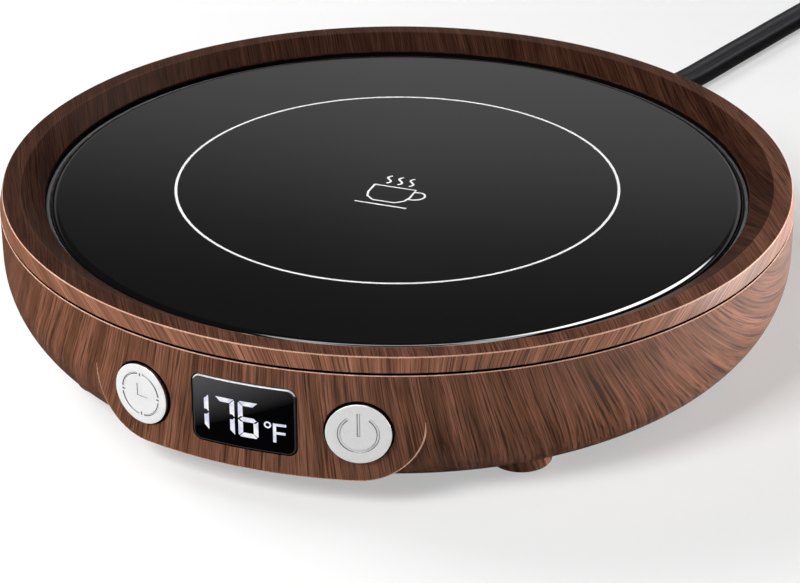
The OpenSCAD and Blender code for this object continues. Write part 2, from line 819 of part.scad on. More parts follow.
// Bowl with the panel, base flange, bosses, feet and all its openings
module lower_housing() {
    color(walnut)
        difference() {
            union() {
                difference() {
                    union() {
                        bowl(body_r, bowl_round, foot_h, part_z);
                        panel_block(body_r, 0);
                    }
                    bowl(inner_r, bowl_round - wall, floor_z, part_z + wall);
                    panel_block(inner_r, wall);
                    // Shadow groove at the parting line
                    rotate_extrude()
                        polygon([[body_r - seam, part_z + eps], [body_r + 1, part_z + eps],
                                 [body_r + 1, part_z - 0.3], [body_r, part_z - 0.3]]);
                }
                // Step for the base cover, and its screw bosses
                difference() {
                    translate([0, 0, cover_top])
                        cylinder(r = step_out_r, h = step_t);
                    translate([0, 0, cover_top - eps])
                        cylinder(r = step_in_r, h = step_t + 2 * eps);
                }
                at_cover_screws()
                    translate([0, 0, step_top - eps])
                        cylinder(r = m26_r + 1.4, h = cover_boss_h, $fn = 40);
                at_feet()
                    translate([0, 0, floor_z - eps])
                        cylinder(r = post_r + 0.2, h = post_boss_h + eps, $fn = 48);
                at_feet()
                    foot_body();
                // Bosses for the control bracket
                for (x = [-1, 1])
                    translate([x * shelf_x, -bracket_screw_y, cover_top + eps])
                        cylinder(r = bracket_boss_r, h = bracket_low - cover_top - eps,
                                 $fn = 48);
                // Pad, cradle and bosses for the lead
                intersection() {
                    bowl(body_r - wall / 2, bowl_round - wall / 2, foot_h + eps, part_z);
                    at_exit()
                        translate([-pad_block_w / 2, pad_block_y, floor_z - eps])
                            cube([pad_block_w, body_r - pad_block_y, pad_block_h]);
                }
                at_exit() {
                    translate([-cord_w / 2, clamp_y, floor_z - eps])
                        cube([cord_w, clamp_l, exit_z - cord_t / 2 - floor_z + eps]);
                    for (x = [-1, 1])
                        translate([x * clamp_screw_x, clamp_y + clamp_l / 2, floor_z - eps])
                            cylinder(r = clamp_boss_r, h = exit_z + cord_t / 2 - floor_z + eps,
                                     $fn = 40);
                }
            }
            // Space for the base cover
            translate([0, 0, -eps])
                cylinder(r = cover_r + cover_gap, h = cover_top + eps);
            translate([0, 0, foot_h])
                cylinder(r = step_in_r, h = floor_z - foot_h + eps);
            at_cover_screws()
                translate([0, 0, cover_top - eps])
                    cylinder(r = m26_r + fit_gap, h = step_t + cover_boss_h - 0.6, $fn = 32);
            // Pad recess, head recess and shank hole in each foot
            at_feet() {
                translate([0, 0, foot_z - eps])
                    cylinder(r = foot_pad_r + fit_gap, h = foot_pad_t - foot_z + eps, $fn = 48);
                translate([0, 0, foot_pad_t - 2 * eps])
                    cylinder(r = m3_head_r + 0.15, h = case_seat_z - foot_pad_t + 2 * eps,
                             $fn = 48);
                translate([0, 0, case_seat_z - eps])
                    cylinder(r = m3_r + hole_gap, h = post_boss_top - case_seat_z + 2 * eps,
                             $fn = 32);
            }
            for (x = [-1, 1])
                translate([x * shelf_x, -bracket_screw_y, bracket_low - bracket_bite - fit_gap])
                    cylinder(r = m2_r + fit_gap, h = bracket_bite + fit_gap + eps, $fn = 32);
            // Hole for the strain relief, holes for the clamp screws
            along_exit(pad_block_y - eps, body_r + 1)
                stadium(relief_root_w + 2 * relief_hole_gap, relief_root_t + 2 * relief_hole_gap);
            at_exit()
                for (x = [-1, 1])
                    translate([x * clamp_screw_x, clamp_y + clamp_l / 2,
                               exit_z + cord_t / 2 - clamp_bite - fit_gap])
                        cylinder(r = m2_r + fit_gap, h = clamp_bite + fit_gap + eps, $fn = 32);
            // Button bores: a wide mouth in front, a close guide behind
            for (side = [-1, 1])
                at_button(side) {
                    translate([0, 0, inner_r - 3])
                        cylinder(r = button_r + guide_gap, h = wall + 8, $fn = 96);
                    translate([0, 0, inner_r + guide_l])
                        cylinder(r = bore_r, h = wall + 8, $fn = 96);
                }
            // Window opening and the pocket for the lens's lip
            at_window(display_z)
                translate([0, 0, inner_r - 6])
                    linear_extrude(wall + 16)
                        round_rect(display_w + 2 * lens_gap, display_h + 2 * lens_gap,
                                   display_corner + lens_gap);
            intersection() {
                at_window(display_z)
                    translate([0, 0, inner_r - 6])
                        linear_extrude(16)
                            round_rect(display_w + 2 * (lens_lip + lens_gap),
                                       display_h + 2 * (lens_lip + lens_gap),
                                       display_corner + lens_gap);
                cylinder(r = lens_back + lens_lip_t + 0.1, h = part_z);
            }
        }
}

// Flat cover with ventilation slots and posts for the main board
module base_cover() {
    slot_l = 20;
    slot_w = 2;
    slot_pitch = 6;
    slot_edge = 4.8;
    slot_y = step_in_r - slot_l / 2 - slot_edge;
    color(black_plastic)
        difference() {
            union() {
                translate([0, 0, foot_h])
                    cylinder(r = cover_r, h = cover_t);
                at_board_screws()
                    translate([0, 0, cover_top - eps])
                        cylinder(r = standoff_r, h = board_z - cover_top + eps, $fn = 48);
            }
            at_board_screws()
                translate([0, 0, cover_top - cover_t / 2])
                    cylinder(r = m26_r + fit_gap, h = board_z - cover_top + cover_t / 2 + eps,
                             $fn = 32);
            at_cover_screws()
                translate([0, 0, foot_h - eps])
                    cylinder(r = m26_r + hole_gap, h = cover_t + 2 * eps, $fn = 32);
            for (row = [-1, 1], slot = [-2 : 2])
                translate([slot * slot_pitch - slot_w / 2,
                           row * slot_y - slot_l / 2 * (1 - abs(slot) * 0.15),
                           foot_h - eps])
                    cube([slot_w, slot_l * (1 - abs(slot) * 0.15), cover_t + 2 * eps]);
        }
}

module cover_screws() {
    color(steel)
        at_cover_screws()
            translate([0, 0, foot_h])
                screw(m26_r, cover_t + step_t + cover_boss_h - 1.2, m26_head_r, m26_head_h);
}

module case_screws() {
    color(steel)
        at_feet()
            translate([0, 0, case_seat_z])
                screw(m3_r, case_screw_l, m3_head_r, case_seat_z - foot_pad_t - 0.2);
}

module foot_pads() {
    color(rubber_black)
        at_feet()
            cylinder(r = foot_pad_r, h = foot_pad_t, $fn = 48);
}

// ------------------------------------------------------------- electronics

module main_board() {
    color(board_green)
        difference() {
            translate([-board_l / 2, -board_w / 2, board_z])
                cube([board_l, board_w, board_t]);
            at_board_screws()
                translate([0, 0, board_z - eps])
                    cylinder(r = m26_r + hole_gap, h = board_t + 2 * eps, $fn = 32);
        }
}

module board_screws() {
    color(steel)
        at_board_screws()
            translate([0, 0, board_top])
                mirror([0, 0, 1])
                    screw(m26_r, board_top - cover_top + cover_t / 4,
                          m26_head_r, m26_head_h);
}

module film_capacitor() {
    film_l = 15;
    film_w = 7;
    film_left = 5;
    film_front = 9.2;
    film_gap = 0.3;
    color([0.85, 0.6, 0.1])
        translate([film_left - board_l / 2, film_front - board_w / 2, board_top])
            cube([film_l, film_w, transformer_h - film_gap]);
}

module bulk_capacitor() {
    can_l = 14;
    can_left = 7;
    can_back = 13;
    color([0.12, 0.13, 0.2])
        translate([can_left - board_l / 2, board_w / 2 - can_back, board_top + capacitor_d / 2])
            rotate([0, 90, 0])
                cylinder(d = capacitor_d, h = can_l, $fn = 64);
}

// Core, bobbin flanges and winding
module transformer() {
    core_l = 13;
    core_w = 14;
    core_left = 7;
    core_y = -6;
    leg = 2.5;
    yoke = 2;
    limb_w = 3;
    limb_in = 2;
    winding_in = 3;
    winding_r = transformer_h / 2 - yoke - 0.05;
    translate([core_left - board_l / 2, core_y, board_top]) {
        color([0.15, 0.15, 0.16]) {
            difference() {
                cube([core_l, core_w, transformer_h]);
                translate([leg, -eps, yoke])
                    cube([core_l - 2 * leg, core_w + 2 * eps, transformer_h - 2 * yoke]);
            }
            translate([(core_l - limb_w) / 2, limb_in, yoke / 2])
                cube([limb_w, core_w - 2 * limb_in, transformer_h - yoke]);
        }
        color([0.8, 0.7, 0.15])
            translate([core_l / 2, winding_in, transformer_h / 2])
                rotate([-90, 0, 0])
                    cylinder(r = winding_r, h = core_w - 2 * winding_in, $fn = 48);
    }
}

// Heater switch: moulded body with a metal tab
module triac() {
    chip_w = 10;
    chip_l = 9.2;
    chip_h = 4.4;
    chip_right = 18;
    chip_front = 6;
    tab_l = 6;
    tab_t = 1.3;
    tab_rise = 0.4;
    tab_hole_r = 1.8;
    tab_hole_y = 3.2;
    translate([board_l / 2 - chip_right, chip_front - board_w / 2, board_top]) {
        color(black_plastic)
            cube([chip_w, chip_l, chip_h]);
        color(steel)
            difference() {
                translate([0, chip_l, tab_rise])
                    cube([chip_w, tab_l, tab_t]);
                translate([chip_w / 2, chip_l + tab_hole_y, 0])
                    cylinder(r = tab_hole_r, h = tab_rise + tab_t + eps, $fn = 40);
            }
    }
}

// Glass fuse in its two clips
module board_fuse() {
    tube_l = 16;
    tube_r = 2.5;
    tube_z = 3.4;
    tube_right = 21;
    tube_back = 12.5;
    clip_w = 2.5;
    clip_l = 3.6;
    clip_h = 1.6;
    clip_in = 1;
    translate([board_l / 2 - tube_right, board_w / 2 - tube_back, board_top]) {
        color([0.8, 0.85, 0.85])
            translate([0, 0, tube_z])
                rotate([0, 90, 0])
                    cylinder(r = tube_r, h = tube_l, $fn = 48);
        color(steel)
            for (x = [clip_in, tube_l - clip_in - clip_w])
                translate([x, -clip_l / 2, 0])
                    cube([clip_w, clip_l, clip_h]);
    }
}

// Mains terminal on the main board, facing the lead
module terminal_block() {
    screw_hole_r = 2;
    screw_hole_h = 2;
    color([0.15, 0.4, 0.25])
        at_exit()
            difference() {
                translate([-terminal_w / 2, terminal_back - terminal_l, board_top])
                    cube([terminal_w, terminal_l, terminal_h]);
                for (x = [-1, 1])
                    translate([x * terminal_w / 4, terminal_back - terminal_l / 2,
                               board_top + terminal_h - screw_hole_h])
                        cylinder(r = screw_hole_r, h = screw_hole_h + eps, $fn = 40);
            }
}

module buzzer() {
    buzzer_r = 6;
    buzzer_h = 6;
    buzzer_right = 11;
    buzzer_y = 3;
    sound_hole_r = 1.2;
    sound_hole_h = 2;
    color(black_plastic)
        translate([board_l / 2 - buzzer_right, buzzer_y, board_top])
            difference() {
                cylinder(r = buzzer_r, h = buzzer_h, $fn = 64);
                translate([0, 0, buzzer_h - sound_hole_h])
                    cylinder(r = sound_hole_r, h = sound_hole_h + eps, $fn = 32);
            }
}

// Flat cable from the control board down to the main board
module ribbon_cable() {
    ribbon_w = 10;
    ribbon_t = 0.7;
    arch = 2.5;
    top_run = 5;
    slope_run = 4;
    overlap = 1;
    back = control_board_y - control_board_t;
    front = board_w / 2 - overlap;
    high = control_z;
    low = board_top + arch;
    bend = back - top_run;
    foot = bend - slope_run;
    color([0.6, 0.6, 0.62])
        translate([-ribbon_w / 2, 0, 0])
            rotate([90, 0, 90])
                linear_extrude(ribbon_w)
                    polygon([[-back, high - ribbon_t], [-bend, high - ribbon_t], [-foot, low],
                             [-front, low], [-front, board_top], [-front + ribbon_t, board_top],
                             [-front + ribbon_t, low + ribbon_t],
                             [-foot + ribbon_t, low + ribbon_t],
                             [-bend + ribbon_t, high], [-back, high]]);
}

// -------------------------------------------------------------- control panel

// Frame behind the panel: carries the control board and the display
module control_bracket() {
    corner_cut = 6;
    color(black_plastic)
        difference() {
            union() {
                translate([-bracket_w / 2, -bracket_y - bracket_t, bracket_low])
                    cube([bracket_w, bracket_t, control_high - bracket_low]);
                for (x = [-1, 1])
                    translate([x * shelf_x - shelf_w / 2, -bracket_y - bracket_t, bracket_low])
                        cube([shelf_w, bracket_y + bracket_t - shelf_end, shelf_t]);
                at_control_posts()
                    translate([0, -control_board_y, 0])
                        rotate([90, 0, 0])
                            cylinder(r = control_post_r, h = bracket_y - control_board_y + eps,
                                     $fn = 40);
            }
            // Opening for the display, open at the top
            translate([-module_w / 2 - module_play, -bracket_y - 2 * bracket_t,
                       module_z - module_h / 2 - module_play])
                cube([module_w + 2 * module_play, 4 * bracket_t, 2 * module_h]);
            // Holes for the buttons' pins
            for (x = [-1, 1])
                translate([x * (switch_x + pin_gap / 2), -bracket_y + 1, control_z])
                    rotate([90, 0, 0])
                        cylinder(r = pin_r + pin_gap, h = bracket_t + 2, $fn = 48);
            for (x = [-1, 1])
                translate([x * shelf_x, -bracket_screw_y, bracket_low - eps])
                    cylinder(r = m2_r + hole_gap, h = shelf_t + 2 * eps, $fn = 32);
            at_control_posts()
                translate([0, -control_board_y + eps, 0])
                    rotate([90, 0, 0])
                        cylinder(r = m2_r + fit_gap, h = bracket_space, $fn = 32);
            // Corners cut to the round of the bowl
            for (side = [-1, 1])
                translate([side * bracket_w / 2, -bracket_y + 1, bracket_low])
                    rotate([90, 45, 0])
                        cube([corner_cut, corner_cut, 4 * bracket_t + 4], center = true);
        }
}

module bracket_screws() {
    color(steel)
        for (x = [-1, 1])
            translate([x * shelf_x, -bracket_screw_y, bracket_low + shelf_t])
                mirror([0, 0, 1])
                    screw(m2_r, shelf_t + bracket_bite, m2_head_r, m2_head_h);
}

module control_board() {
    color(board_green)
        difference() {
            translate([-control_w / 2, -control_board_y, control_low])
                cube([control_w, control_board_t, control_high - control_low]);
            at_control_posts()
                translate([0, -control_board_y + control_board_t + eps, 0])
                    rotate([90, 0, 0])
                        cylinder(r = m2_r + hole_gap, h = control_board_t + 2 * eps, $fn = 32);
        }
}

module control_screws() {
    color(steel)
        at_control_posts()
            translate([0, -control_board_y + control_board_t, 0])
                rotate([90, 0, 0])
                    screw(m2_r, control_board_t + control_bite, m2_head_r, m2_head_h);
}

// Bodies of the two push switches on the control board
module tact_switches() {
    color([0.2, 0.2, 0.21])
        for (x = [-1, 1])
            difference() {
                translate([x * switch_x - switch_side / 2, -control_board_y - switch_h,
                           control_z - switch_side / 2])
                    cube([switch_side, switch_h, switch_side]);
                translate([x * switch_x,
                           -control_board_y - switch_h + plunger_in + button_travel + plunger_floor,
                           control_z])
                    rotate([90, 0, 0])
                        cylinder(r = plunger_r + plunger_gap, h = switch_h, $fn = 48);
            }
}

module display_module() {
    color([0.9, 0.9, 0.9])
        translate([-module_w / 2, -module_front, module_z - module_h / 2])
            cube([module_w, module_d, module_h]);
}

// White light guide between the display module and the window
module light_guide() {
    color([0.93, 0.93, 0.93])
        intersection() {
            translate([-module_w / 2, -body_r, module_z - module_h / 2])
                cube([module_w, body_r - module_front, module_h]);
            cylinder(r = lens_back - 0.1, h = body_h);
        }
}

// Smoked window, curved with the panel, with a lip behind the opening
module display_lens() {
    color([0.02, 0.02, 0.025])
        difference() {
            union() {
                intersection() {
                    cylinder(r = body_r + lens_proud, h = part_z);
                    at_window(display_z)
                        linear_extrude(body_d)
                            round_rect(display_w, display_h, display_corner);
                }
                intersection() {
                    cylinder(r = lens_back + lens_lip_t, h = part_z);
                    at_window(display_z)
                        linear_extrude(body_d)
                            round_rect(display_w + 2 * lens_lip, display_h + 2 * lens_lip,
                                       display_corner);
                }
            }
            translate([0, 0, -eps])
                cylinder(r = lens_back, h = part_z + 1);
        }
}

// Metal cap with a bevelled edge; its children are cut into the face
module cap(side) {
    color([0.86, 0.86, 0.87])
        at_button(side)
            difference() {
                union() {
                    translate([0, 0, cap_back])
                        cylinder(r = button_r, h = cap_t - cap_bevel);
                    translate([0, 0, cap_face - cap_bevel])
                        cylinder(r1 = button_r, r2 = button_r - cap_bevel, h = cap_bevel);
                }
                translate([0, 0, cap_face - engrave])
                    linear_extrude(engrave + 1)
                        children();
            }
}

// Flat ring for the engraved signs
module icon_ring(r) {
    difference() {
        circle(r);
        circle(r - icon_line);
    }
}

// A clock: ring with four gaps, a mark in each, and two hands
module timer_cap() {
    cap(-1) {
        difference() {
            icon_ring(clock_r);
            for (turn = [0 : 90 : 270])
                rotate(turn)
                    translate([clock_r - 2 * icon_line, -icon_line])
                        square([3 * icon_line, 2 * icon_line]);
        }
        for (turn = [0 : 90 : 270])
            rotate(turn)
                translate([clock_r - clock_mark_l, -icon_line / 2])
                    square([clock_mark_l, icon_line]);
        translate([-clock_hand_w, -clock_hand_w / 2])
            square([clock_hand_w, clock_hand_l]);
        translate([-clock_hand_w, -clock_hand_w / 2])
            square([clock_hand_l, clock_hand_w]);
    }
}

// The on-off sign: an open ring and a bar with round ends
module power_cap() {
    round_r = power_bar_w / 2;
    cap(1) {
        difference() {
            icon_ring(power_r);
            polygon([[0, 0], [2 * power_r * sin(power_opening), 2 * power_r * cos(power_opening)],
                     [-2 * power_r * sin(power_opening), 2 * power_r * cos(power_opening)]]);
        }
        translate([-round_r, power_bar_low + round_r])
            square([power_bar_w, power_bar_l - power_bar_w]);
        for (y = [power_bar_low + round_r, power_bar_low + power_bar_l - round_r])
            translate([0, y])
                circle(round_r, $fn = 32);
    }
}

// Stem: disc in the guide, retaining flange with a flat top, and pin
module stem(side) {
    color(black_plastic)
        at_button(side) {
            translate([0, 0, flange_front - eps])
                cylinder(r = button_r, h = cap_back - flange_front + eps);
            intersection() {
                translate([0, 0, flange_front - flange_t])
                    cylinder(r = flange_r, h = flange_t);
                translate([-flange_r, -flange_r, flange_front - flange_t])
                    cube([2 * flange_r, flange_r + flange_top, flange_t]);
            }
            translate([0, 0, tip_centre])
                cylinder(r = pin_r, h = flange_front - flange_t - tip_centre + eps, $fn = 64);
            translate([0, 0, tip_centre])
                sphere(r = pin_r, $fn = 64);
        }
}

module timer_stem() {
    stem(-1);
}

module power_stem() {
    stem(1);
}

module plunger(side) {
    color([0.75, 0.3, 0.25])
        translate([side * switch_x, -control_board_y - switch_h + plunger_in, control_z])
            rotate([90, 0, 0])
                cylinder(r = plunger_r, h = plunger_in + plunger_out, $fn = 64);
}

module timer_plunger() {
    plunger(-1);
}

module power_plunger() {
    plunger(1);
}

// ------------------------------------------------------------------ mains lead

// Rubber strain relief: flange inside, neck in the wall, tapered sleeve outside
module strain_relief() {
    color(rubber_black) {
        along_exit(pad_block_y - relief_flange_t, pad_block_y)
            stadium(relief_root_w + 2 * relief_lip, relief_root_t + 2 * relief_lip);
        along_exit(pad_block_y - eps, relief_start)
            stadium(relief_root_w, relief_root_t);
        at_exit()
            translate([0, relief_start - eps, exit_z])
                rotate([90, 0, 0])
                    mirror([0, 0, 1])
                        linear_extrude(relief_l + eps, slices = 4,
                                       scale = [relief_end_w / relief_root_w,
                                                relief_end_t / relief_root_t])
                            stadium(relief_root_w, relief_root_t, $fn = 32);
    }
}

module cord_clamp() {
    color(black_plastic)
        at_exit()
            difference() {
                translate([-clamp_w / 2, clamp_y, exit_z + cord_t / 2])
                    cube([clamp_w, clamp_l, clamp_t]);
                for (x = [-1, 1])
                    translate([x * clamp_screw_x, clamp_y + clamp_l / 2, exit_z])
                        cylinder(r = m2_r + hole_gap, h = cord_t + clamp_t, $fn = 32);
            }
}

module clamp_screws() {
    color(steel)
        at_exit()
            for (x = [-1, 1])
                translate([x * clamp_screw_x, clamp_y + clamp_l / 2, exit_z + cord_t / 2 + clamp_t])
                    mirror([0, 0, 1])
                        screw(m2_r, clamp_t + clamp_bite, m2_head_r, m2_head_h);
}

module inner_cord() {
    color(rubber_black)
        along_exit(terminal_back, pad_block_y - relief_flange_t)
            stadium(cord_w, cord_t);
}

module cord_lead() {
    color(rubber_black)
        swept(lead_points, cord_w, cord_t, 12);
}

module cord_coil() {
    color(rubber_black)
        translate([coil_x, coil_y, coil_lift])
            rotate_extrude()
                translate([coil_in_r, 0])
                    square([coil_out_r - coil_in_r, coil_h]);
}

module cord_tail() {
    color(rubber_black)
        swept(tail_points, cord_w, cord_t, 12);
}

// Band round the coil, lying on the surface under it
module cord_tie() {
    radial = coil_out_r - coil_in_r;
    color([0.1, 0.1, 0.11])
        translate([coil_x, coil_y, 0])
            rotate([0, 0, tie_angle])
                translate([coil_in_r - 1, tie_w / 2, 0])
                    rotate([90, 0, 0])
                        linear_extrude(tie_w)
                            difference() {
                                translate([-tie_t, 0])
                                    square([radial + 2 + 2 * tie_t,
                                            coil_lift + coil_h + 0.1 + tie_t]);
                                translate([0, tie_t])
                                    square([radial + 2, coil_lift + coil_h + 0.1 - tie_t]);
                            }
}

// Puts its children at the plug: local Y along it, from the lead to the blades
module at_plug() {
    translate(plug_at)
        rotate([0, 0, plug_turn])
            children();
}

module plug_body() {
    color(rubber_black)
        at_plug() {
            rotate([90, 0, 0])
                mirror([0, 0, 1])
                    linear_extrude(plug_nose_l, slices = 4, scale = [plug_flare_w, plug_flare_t])
                        stadium(relief_end_w, relief_end_t, $fn = 32);
            translate([0, plug_nose_l - eps, 0])
                rotate([90, 0, 0])
                    mirror([0, 0, 1])
                        linear_extrude(plug_l)
                            round_rect(plug_w, plug_t, plug_round);
        }
}

module plug_blades() {
    color([0.75, 0.72, 0.6])
        at_plug()
            for (side = [-1, 1])
                difference() {
                    translate([side * blade_gap / 2 - blade_t / 2, plug_nose_l + plug_l - eps,
                               -blade_w / 2])
                        cube([blade_t, blade_l, blade_w]);
                    translate([side * blade_gap / 2 - blade_t, plug_nose_l + plug_l + blade_hole_y, 0])
                        rotate([0, 90, 0])
                            cylinder(r = blade_hole_r, h = 2 * blade_t, $fn = 32);
                }
}

top_ring();
glass_seal();
glass_plate();
heat_spreader();
mica_heater();
insulation_pad();
retaining_plate();
plate_screws();
sensor();
sensor_clip();
sensor_wires();
thermal_fuse();
fuse_clip();
heater_wires();
lower_housing();
base_cover();
cover_screws();
case_screws();
foot_pads();
main_board();
board_screws();
film_capacitor();
bulk_capacitor();
transformer();
triac();
board_fuse();
terminal_block();
buzzer();
ribbon_cable();
control_bracket();
bracket_screws();
control_board();
control_screws();
tact_switches();
display_module();
light_guide();
display_lens();
timer_cap();
timer_stem();
timer_plunger();
power_cap();
power_stem();
power_plunger();
strain_relief();
cord_clamp();
clamp_screws();
inner_cord();
cord_lead();
cord_coil();
cord_tail();
cord_tie();
plug_body();
plug_blades();
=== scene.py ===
import math
import bmesh
import bpy
from mathutils import Matrix, Vector


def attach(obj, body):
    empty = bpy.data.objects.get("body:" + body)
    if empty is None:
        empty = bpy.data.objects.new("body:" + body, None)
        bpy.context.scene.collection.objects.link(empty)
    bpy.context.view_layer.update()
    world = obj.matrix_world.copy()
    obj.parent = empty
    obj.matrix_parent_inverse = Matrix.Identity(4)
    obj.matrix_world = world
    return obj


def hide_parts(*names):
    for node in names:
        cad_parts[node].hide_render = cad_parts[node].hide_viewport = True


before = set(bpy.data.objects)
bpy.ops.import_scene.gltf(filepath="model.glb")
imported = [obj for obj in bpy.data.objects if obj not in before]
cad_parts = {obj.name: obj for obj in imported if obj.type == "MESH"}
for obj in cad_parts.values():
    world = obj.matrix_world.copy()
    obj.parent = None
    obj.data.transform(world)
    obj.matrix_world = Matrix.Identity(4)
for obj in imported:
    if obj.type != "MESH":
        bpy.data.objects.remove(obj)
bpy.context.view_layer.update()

# ---------------------------------------- camera
# A long lens looks down on the hotplate from a little right of the panel's
# front, from about half a metre away.
camera_data = bpy.data.cameras.new("camera")
camera_data.sensor_width = 36.0
camera_data.lens = 114.63
camera = bpy.data.objects.new("camera", camera_data)
camera.location = (0.15397, -0.4169, 0.23214)
camera.rotation_euler = [math.radians(a) for a in (62.78627, 0.06618, 20.17546)]
bpy.context.collection.objects.link(camera)
bpy.context.scene.camera = camera
bpy.context.scene.view_settings.view_transform = "Standard"

# ---------------------------------------- mains lead
# Flat twin lead: two copper cores side by side in black flexible vinyl, with a
# groove between them. It leaves the strain relief at the back, lies on the
# table and is wound into a small coil, held by a band, with its plug beside it.
MM = 0.001
CORD_W = 7.0
CORD_T = 3.5
EXIT_TURN = math.radians(-10)
RELIEF_START = 73.2
RELIEF_END = 98.2
EXIT_Z = 9.5
RELIEF_TIP = (17.05, 96.71, EXIT_Z)
LEAD_POINTS = [
    RELIEF_TIP, (17.8, 100.5, 9.2), (18.8, 106.3, 7.9), (20.3, 112.1, 5.8),
    (21.9, 117.9, 3.7), (23.7, 123.9, 2.3), (25.6, 130, 1.8), (28.6, 139.5, 1.75),
    (31.5, 149, 1.75), (34.5, 158.5, 1.75), (37.4, 168, 1.75), (40.4, 177.5, 1.75),
    (43.4, 187, 1.75), (46.4, 196.5, 1.8), (49.3, 206, 2), (51.4, 212.3, 2.2)]
COIL_AT = (97.0, 205.0)
COIL_IN, COIL_MID, COIL_OUT = 31.4, 38.5, 45.6
COIL_LOW, COIL_HIGH = 2.3, 5.9
COIL_START = 162.7
TAIL_POINTS = [
    (138.8, 185.7, 5.9), (137.1, 180, 5.9), (135.5, 174.2, 6), (133.9, 168.4, 6),
    (132.3, 162.6, 6), (130.7, 156.8, 6)]
# Radius and height of the coil's turns at the wound angles: columns outside to
# inside on the lower layer, then back out on the upper one
COIL_STAGES = [
    (0, COIL_OUT, COIL_LOW), (270, COIL_OUT, COIL_LOW), (360, COIL_MID, COIL_LOW),
    (630, COIL_MID, COIL_LOW), (720, COIL_IN, COIL_LOW), (920, COIL_IN, COIL_LOW),
    (990, COIL_IN, COIL_HIGH), (1190, COIL_IN, COIL_HIGH), (1280, COIL_MID, COIL_HIGH),
    (1550, COIL_MID, COIL_HIGH), (1620, COIL_OUT, COIL_HIGH)]


def polar(radius, degrees):
    """X and Y at this distance and angle from the origin."""
    angle = math.radians(degrees)
    return radius * math.cos(angle), radius * math.sin(angle)


def coil_point(wound):
    for (a0, r0, z0), (a1, r1, z1) in zip(COIL_STAGES, COIL_STAGES[1:]):
        if wound <= a1:
            t = (wound - a0) / (a1 - a0)
            break
    t = t * t * (3 - 2 * t)
    x, y = polar(r0 + (r1 - r0) * t, COIL_START - wound)
    return COIL_AT[0] + x, COIL_AT[1] + y, z0 + (z1 - z0) * t


def hex_rgb(code):
    """sRGB hex to the linear colour that shaders take."""
    parts = [int(code[i:i + 2], 16) / 255 for i in (1, 3, 5)]
    linear = [c / 12.92 if c <= 0.04045 else ((c + 0.055) / 1.055) ** 2.4 for c in parts]
    return (*linear, 1.0)


def link(tree, node, links):
    """Links sockets, or the first outputs of nodes, to these inputs of a node."""
    for key, source in links.items():
        if isinstance(source, bpy.types.Node):
            source = source.outputs[0]
        tree.links.new(source, node.inputs[key])


def add_node(tree, kind, settings=None, links=None):
    """One shader node, with its settings, socket values, colour stops and links."""
    node = tree.nodes.new("ShaderNode" + kind)
    for key, value in (settings or {}).items():
        if key == "stops":
            stops = node.color_ramp.elements
            stops.remove(stops[1])
            for index, (position, colour) in enumerate(value):
                stop = stops.new(position) if index else stops[0]
                stop.position = position
                stop.color = hex_rgb(colour) if isinstance(colour, str) else colour
        elif isinstance(key, str) and hasattr(node, key):
            setattr(node, key, value)
        else:
            node.inputs[key].default_value = value
    link(tree, node, links or {})
    return node


def new_material(name, settings):
    """A Principled material with these socket values; returns it, its tree and its shader."""
    material = bpy.data.materials.new(name)
    material.use_nodes = True
    tree = material.node_tree
    shader = tree.nodes["Principled BSDF"]
    for key, value in settings.items():
        shader.inputs[key].default_value = value
    return material, tree, shader


def grained(name, settings, scale, strength, colours, distance=0.00005, detail=3.0):
    """A material with moulded or brushed micro-relief, mottled between two colours."""
    material, tree, shader = new_material(name, settings)
    place = add_node(tree, "TexCoord")
    noise = add_node(tree, "TexNoise", {"Scale": scale, "Detail": detail, "Roughness": 0.6},
                     {"Vector": place.outputs["Object"]})
    bump = add_node(tree, "Bump", {"Strength": strength, "Distance": distance}, {"Height": noise})
    mottle = add_node(tree, "ValToRGB", {"stops": ((0.35, colours[0]), (0.65, colours[1]))},
                      {"Fac": noise})
    link(tree, shader, {"Normal": bump, "Base Color": mottle})
    return material


def piece_from(bm, name, material, sharp=30.0, body="housing"):
    """Turns a bmesh in mm into a piece in metres on this body, its sharp edges marked."""
    bmesh.ops.scale(bm, vec=(MM, MM, MM), verts=bm.verts)
    limit = math.radians(sharp)
    for face in bm.faces:
        face.smooth = True
    for edge in bm.edges:
        edge.smooth = not edge.is_manifold or edge.calc_face_angle(0.0) < limit
    mesh = bpy.data.meshes.new(name)
    bm.to_mesh(mesh)
    bm.free()
    for finish in material if isinstance(material, tuple) else (material,):
        mesh.materials.append(finish)
    piece = bpy.data.objects.new(name, mesh)
    bpy.context.collection.objects.link(piece)
    shading = piece.modifiers.new("flat faces stay flat", "WEIGHTED_NORMAL")
    shading.keep_sharp = True
    shading.weight = 80
    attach(piece, body)
    return piece


# Extruded vinyl: satin, with a faint ripple from the extruder
cord_vinyl = grained("black_flexible_vinyl", {"Roughness": 0.4, "IOR": 1.08},
                     900, 0.25, ("#151517", "#1b1b1d"), 0.0001)
cord_route = list(LEAD_POINTS)
cord_route += [coil_point(wound) for wound in range(0, 1621, 15)]
cord_route += TAIL_POINTS


